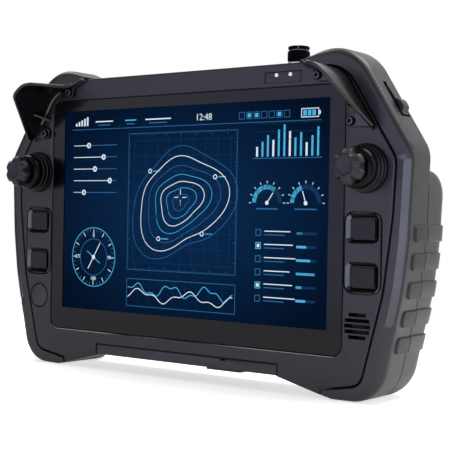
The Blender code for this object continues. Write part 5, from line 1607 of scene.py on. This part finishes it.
for draw in (drawContours, drawBars, drawGauges, drawList, drawSliders, drawCompass, drawTrace, drawHeader):
    draw()
makeMarks()
print("screen marks made")


# Floor, lamps and world

stageSet = {
    "radius": 0.5,  # metres
    "segments": 96,
    "drop": 0.2,  # mm under the feet
    "color": "f2f2f2",
    "glow": (1.0, 0.62),  # far away and under the object
    "reach": 0.9,
    "towards": (0.9, 0.43, 0.0),  # away from the user's side, where the paper falls into the dim room
    "dim": (-0.3, 0.25, 0.12),  # metres from, metres to, level there in reflections
}


# Matt white paper, lifted towards white where it is seen
def paperFloor():
    material = bpy.data.materials.new("paleFloor")
    material.use_nodes = True
    tree = material.node_tree
    tree.nodes.clear()
    paper = addNode(tree, "ShaderNodeBsdfDiffuse", {"Color": hexColor(stageSet["color"])})
    where = addNode(tree, "ShaderNodeTexCoord").outputs["Object"]
    fitted = {"Vector": where, "Scale": (1 / stageSet["reach"],) * 3}
    near = addNode(tree, "ShaderNodeMapping", fitted).outputs["Vector"]
    fall = addNode(tree, "ShaderNodeTexGradient", {"Vector": near}, gradient_type="SPHERICAL")
    far, close = stageSet["glow"]
    lifts = {"Value": fall.outputs["Fac"], "To Min": far, "To Max": close}
    lift = addNode(tree, "ShaderNodeMapRange", lifts)
    ways = {0: where, 1: stageSet["towards"]}
    facing = addNode(tree, "ShaderNodeVectorMath", ways, operation="DOT_PRODUCT").outputs["Value"]
    start, end, dim = stageSet["dim"]
    span = {"Value": facing, "From Min": start, "From Max": end, "To Min": dim, "To Max": 1.0}
    room = addNode(tree, "ShaderNodeMapRange", span)
    path = addNode(tree, "ShaderNodeLightPath").outputs
    mirrored = {0: path["Is Glossy Ray"], 1: room.outputs["Result"]}
    seen = addNode(tree, "ShaderNodeMath", mirrored, operation="MULTIPLY").outputs["Value"]
    for kind in ("Is Camera Ray", "Is Transmission Ray"):
        both = {0: seen, 1: path[kind]}
        seen = addNode(tree, "ShaderNodeMath", both, operation="MAXIMUM").outputs["Value"]
    lifted = {0: seen, 1: lift.outputs["Result"]}
    share = addNode(tree, "ShaderNodeMath", lifted, operation="MULTIPLY").outputs["Value"]
    glow = addNode(tree, "ShaderNodeEmission", {"Color": (1, 1, 1, 1), "Strength": share})
    layers = {0: paper.outputs["BSDF"], 1: glow.outputs["Emission"]}
    surface = addNode(tree, "ShaderNodeAddShader", layers).outputs["Shader"]
    addNode(tree, "ShaderNodeOutputMaterial", {"Surface": surface})
    return material


def makeFloor():
    bm = bmesh.new()
    disc = {"cap_ends": True, "radius": stageSet["radius"], "segments": stageSet["segments"]}
    bmesh.ops.create_circle(bm, **disc)
    mesh = bpy.data.meshes.new("floor")
    bm.to_mesh(mesh)
    bm.free()
    mesh.materials.append(paperFloor())
    floor = bpy.data.objects.new("floor", mesh)
    scene.collection.objects.link(floor)
    floor.location.z = -stageSet["drop"] * mm


lamps = {
    "frontSoft": {"at": (450, -720, -20), "size": 520, "power": 2.0, "color": "d6dcff"},
    "topSoft": {"at": (350, 250, 1000), "size": 700, "power": 10.0, "color": "ffffff"},
    "rightFill": {"at": (1100, 350, 250), "size": 700, "power": 2.0, "color": "ffffff"},
    "leftHigh": {"at": (-650, 60, 860), "size": 420, "power": 3.0, "color": "ffffff"},
}
lampAim = (0, 20, 0)  # mm, in the frame of place()


def makeLamps():
    for name, spec in lamps.items():
        data = bpy.data.lights.new(name, "AREA")
        data.size = spec["size"] * mm
        data.energy = spec["power"]
        data.color = hexColor(spec["color"])[:3]
        lamp = bpy.data.objects.new(name, data)
        scene.collection.objects.link(lamp)
        lamp.location = place(*spec["at"])
        lamp.rotation_mode = "QUATERNION"
        lamp.rotation_quaternion = (place(*lampAim) - lamp.location).to_track_quat("-Z", "Y")


# A white sweep behind and beside the object, and on the user's side a dim room with one cool soft light
worldSet = {
    "ambient": 0.4,
    "white": {"towards": (0.42, 0.82, 0.38), "dim": 0.12, "from": -0.2, "to": 0.4},
    "cool": {"towards": (-0.3, -0.95, 0.0), "strength": 2.3, "from": 0.7, "to": 1.0, "core": 3.0},
    "coolColors": ("e6e4e6", "cfd2fa"),  # round the soft light and in its middle
}


def makeWorld():
    world = bpy.data.worlds.new("studio")
    scene.world = world
    world.use_nodes = True
    tree = world.node_tree
    tree.nodes.clear()
    path = addNode(tree, "ShaderNodeLightPath").outputs
    where = addNode(tree, "ShaderNodeTexCoord").outputs["Generated"]
    mixed = {"data_type": "RGBA"}
    spans = {}
    for part in ("white", "cool"):
        spec = worldSet[part]
        ways = {0: where, 1: spec["towards"]}
        facing = addNode(tree, "ShaderNodeVectorMath", ways, operation="DOT_PRODUCT").outputs["Value"]
        spans[part] = {"Value": facing, "From Min": spec["from"], "From Max": spec["to"]}
    fade = {**spans["white"], "To Min": worldSet["white"]["dim"], "To Max": 1.0}
    level = addNode(tree, "ShaderNodeMapRange", fade).outputs["Result"]
    soft = addNode(tree, "ShaderNodeMath", {0: level, 1: worldSet["ambient"]}, operation="MULTIPLY")
    cool = worldSet["cool"]
    lobe = addNode(tree, "ShaderNodeMapRange", spans["cool"], interpolation_type="SMOOTHSTEP")
    lobe = lobe.outputs["Result"]
    core = addNode(tree, "ShaderNodeMath", {0: lobe, 1: cool["core"]}, operation="POWER").outputs["Value"]
    colors = [hexColor(code) for code in worldSet["coolColors"]]
    outside, inside = ([value * cool["strength"] for value in color] for color in colors)
    tint = addNode(tree, "ShaderNodeMix", {0: core, 6: outside, 7: inside}, **mixed).outputs[2]
    room = addNode(tree, "ShaderNodeMix", {0: lobe, 6: level, 7: tint}, **mixed).outputs[2]
    shine = {0: path["Is Glossy Ray"], 6: soft.outputs["Value"], 7: room}
    lit = addNode(tree, "ShaderNodeMix", shine, **mixed).outputs[2]
    straight = {0: path["Is Camera Ray"], 1: path["Is Transmission Ray"]}
    seen = addNode(tree, "ShaderNodeMath", straight, operation="MAXIMUM").outputs["Value"]
    shown = addNode(tree, "ShaderNodeMix", {0: seen, 6: lit, 7: (1, 1, 1, 1)}, **mixed).outputs[2]
    sky = addNode(tree, "ShaderNodeBackground", {"Color": shown, "Strength": 1.0})
    addNode(tree, "ShaderNodeOutputWorld", {"Surface": sky.outputs["Background"]})


makeFloor()
makeLamps()
makeWorld()
makeCamera()
print("stage set")
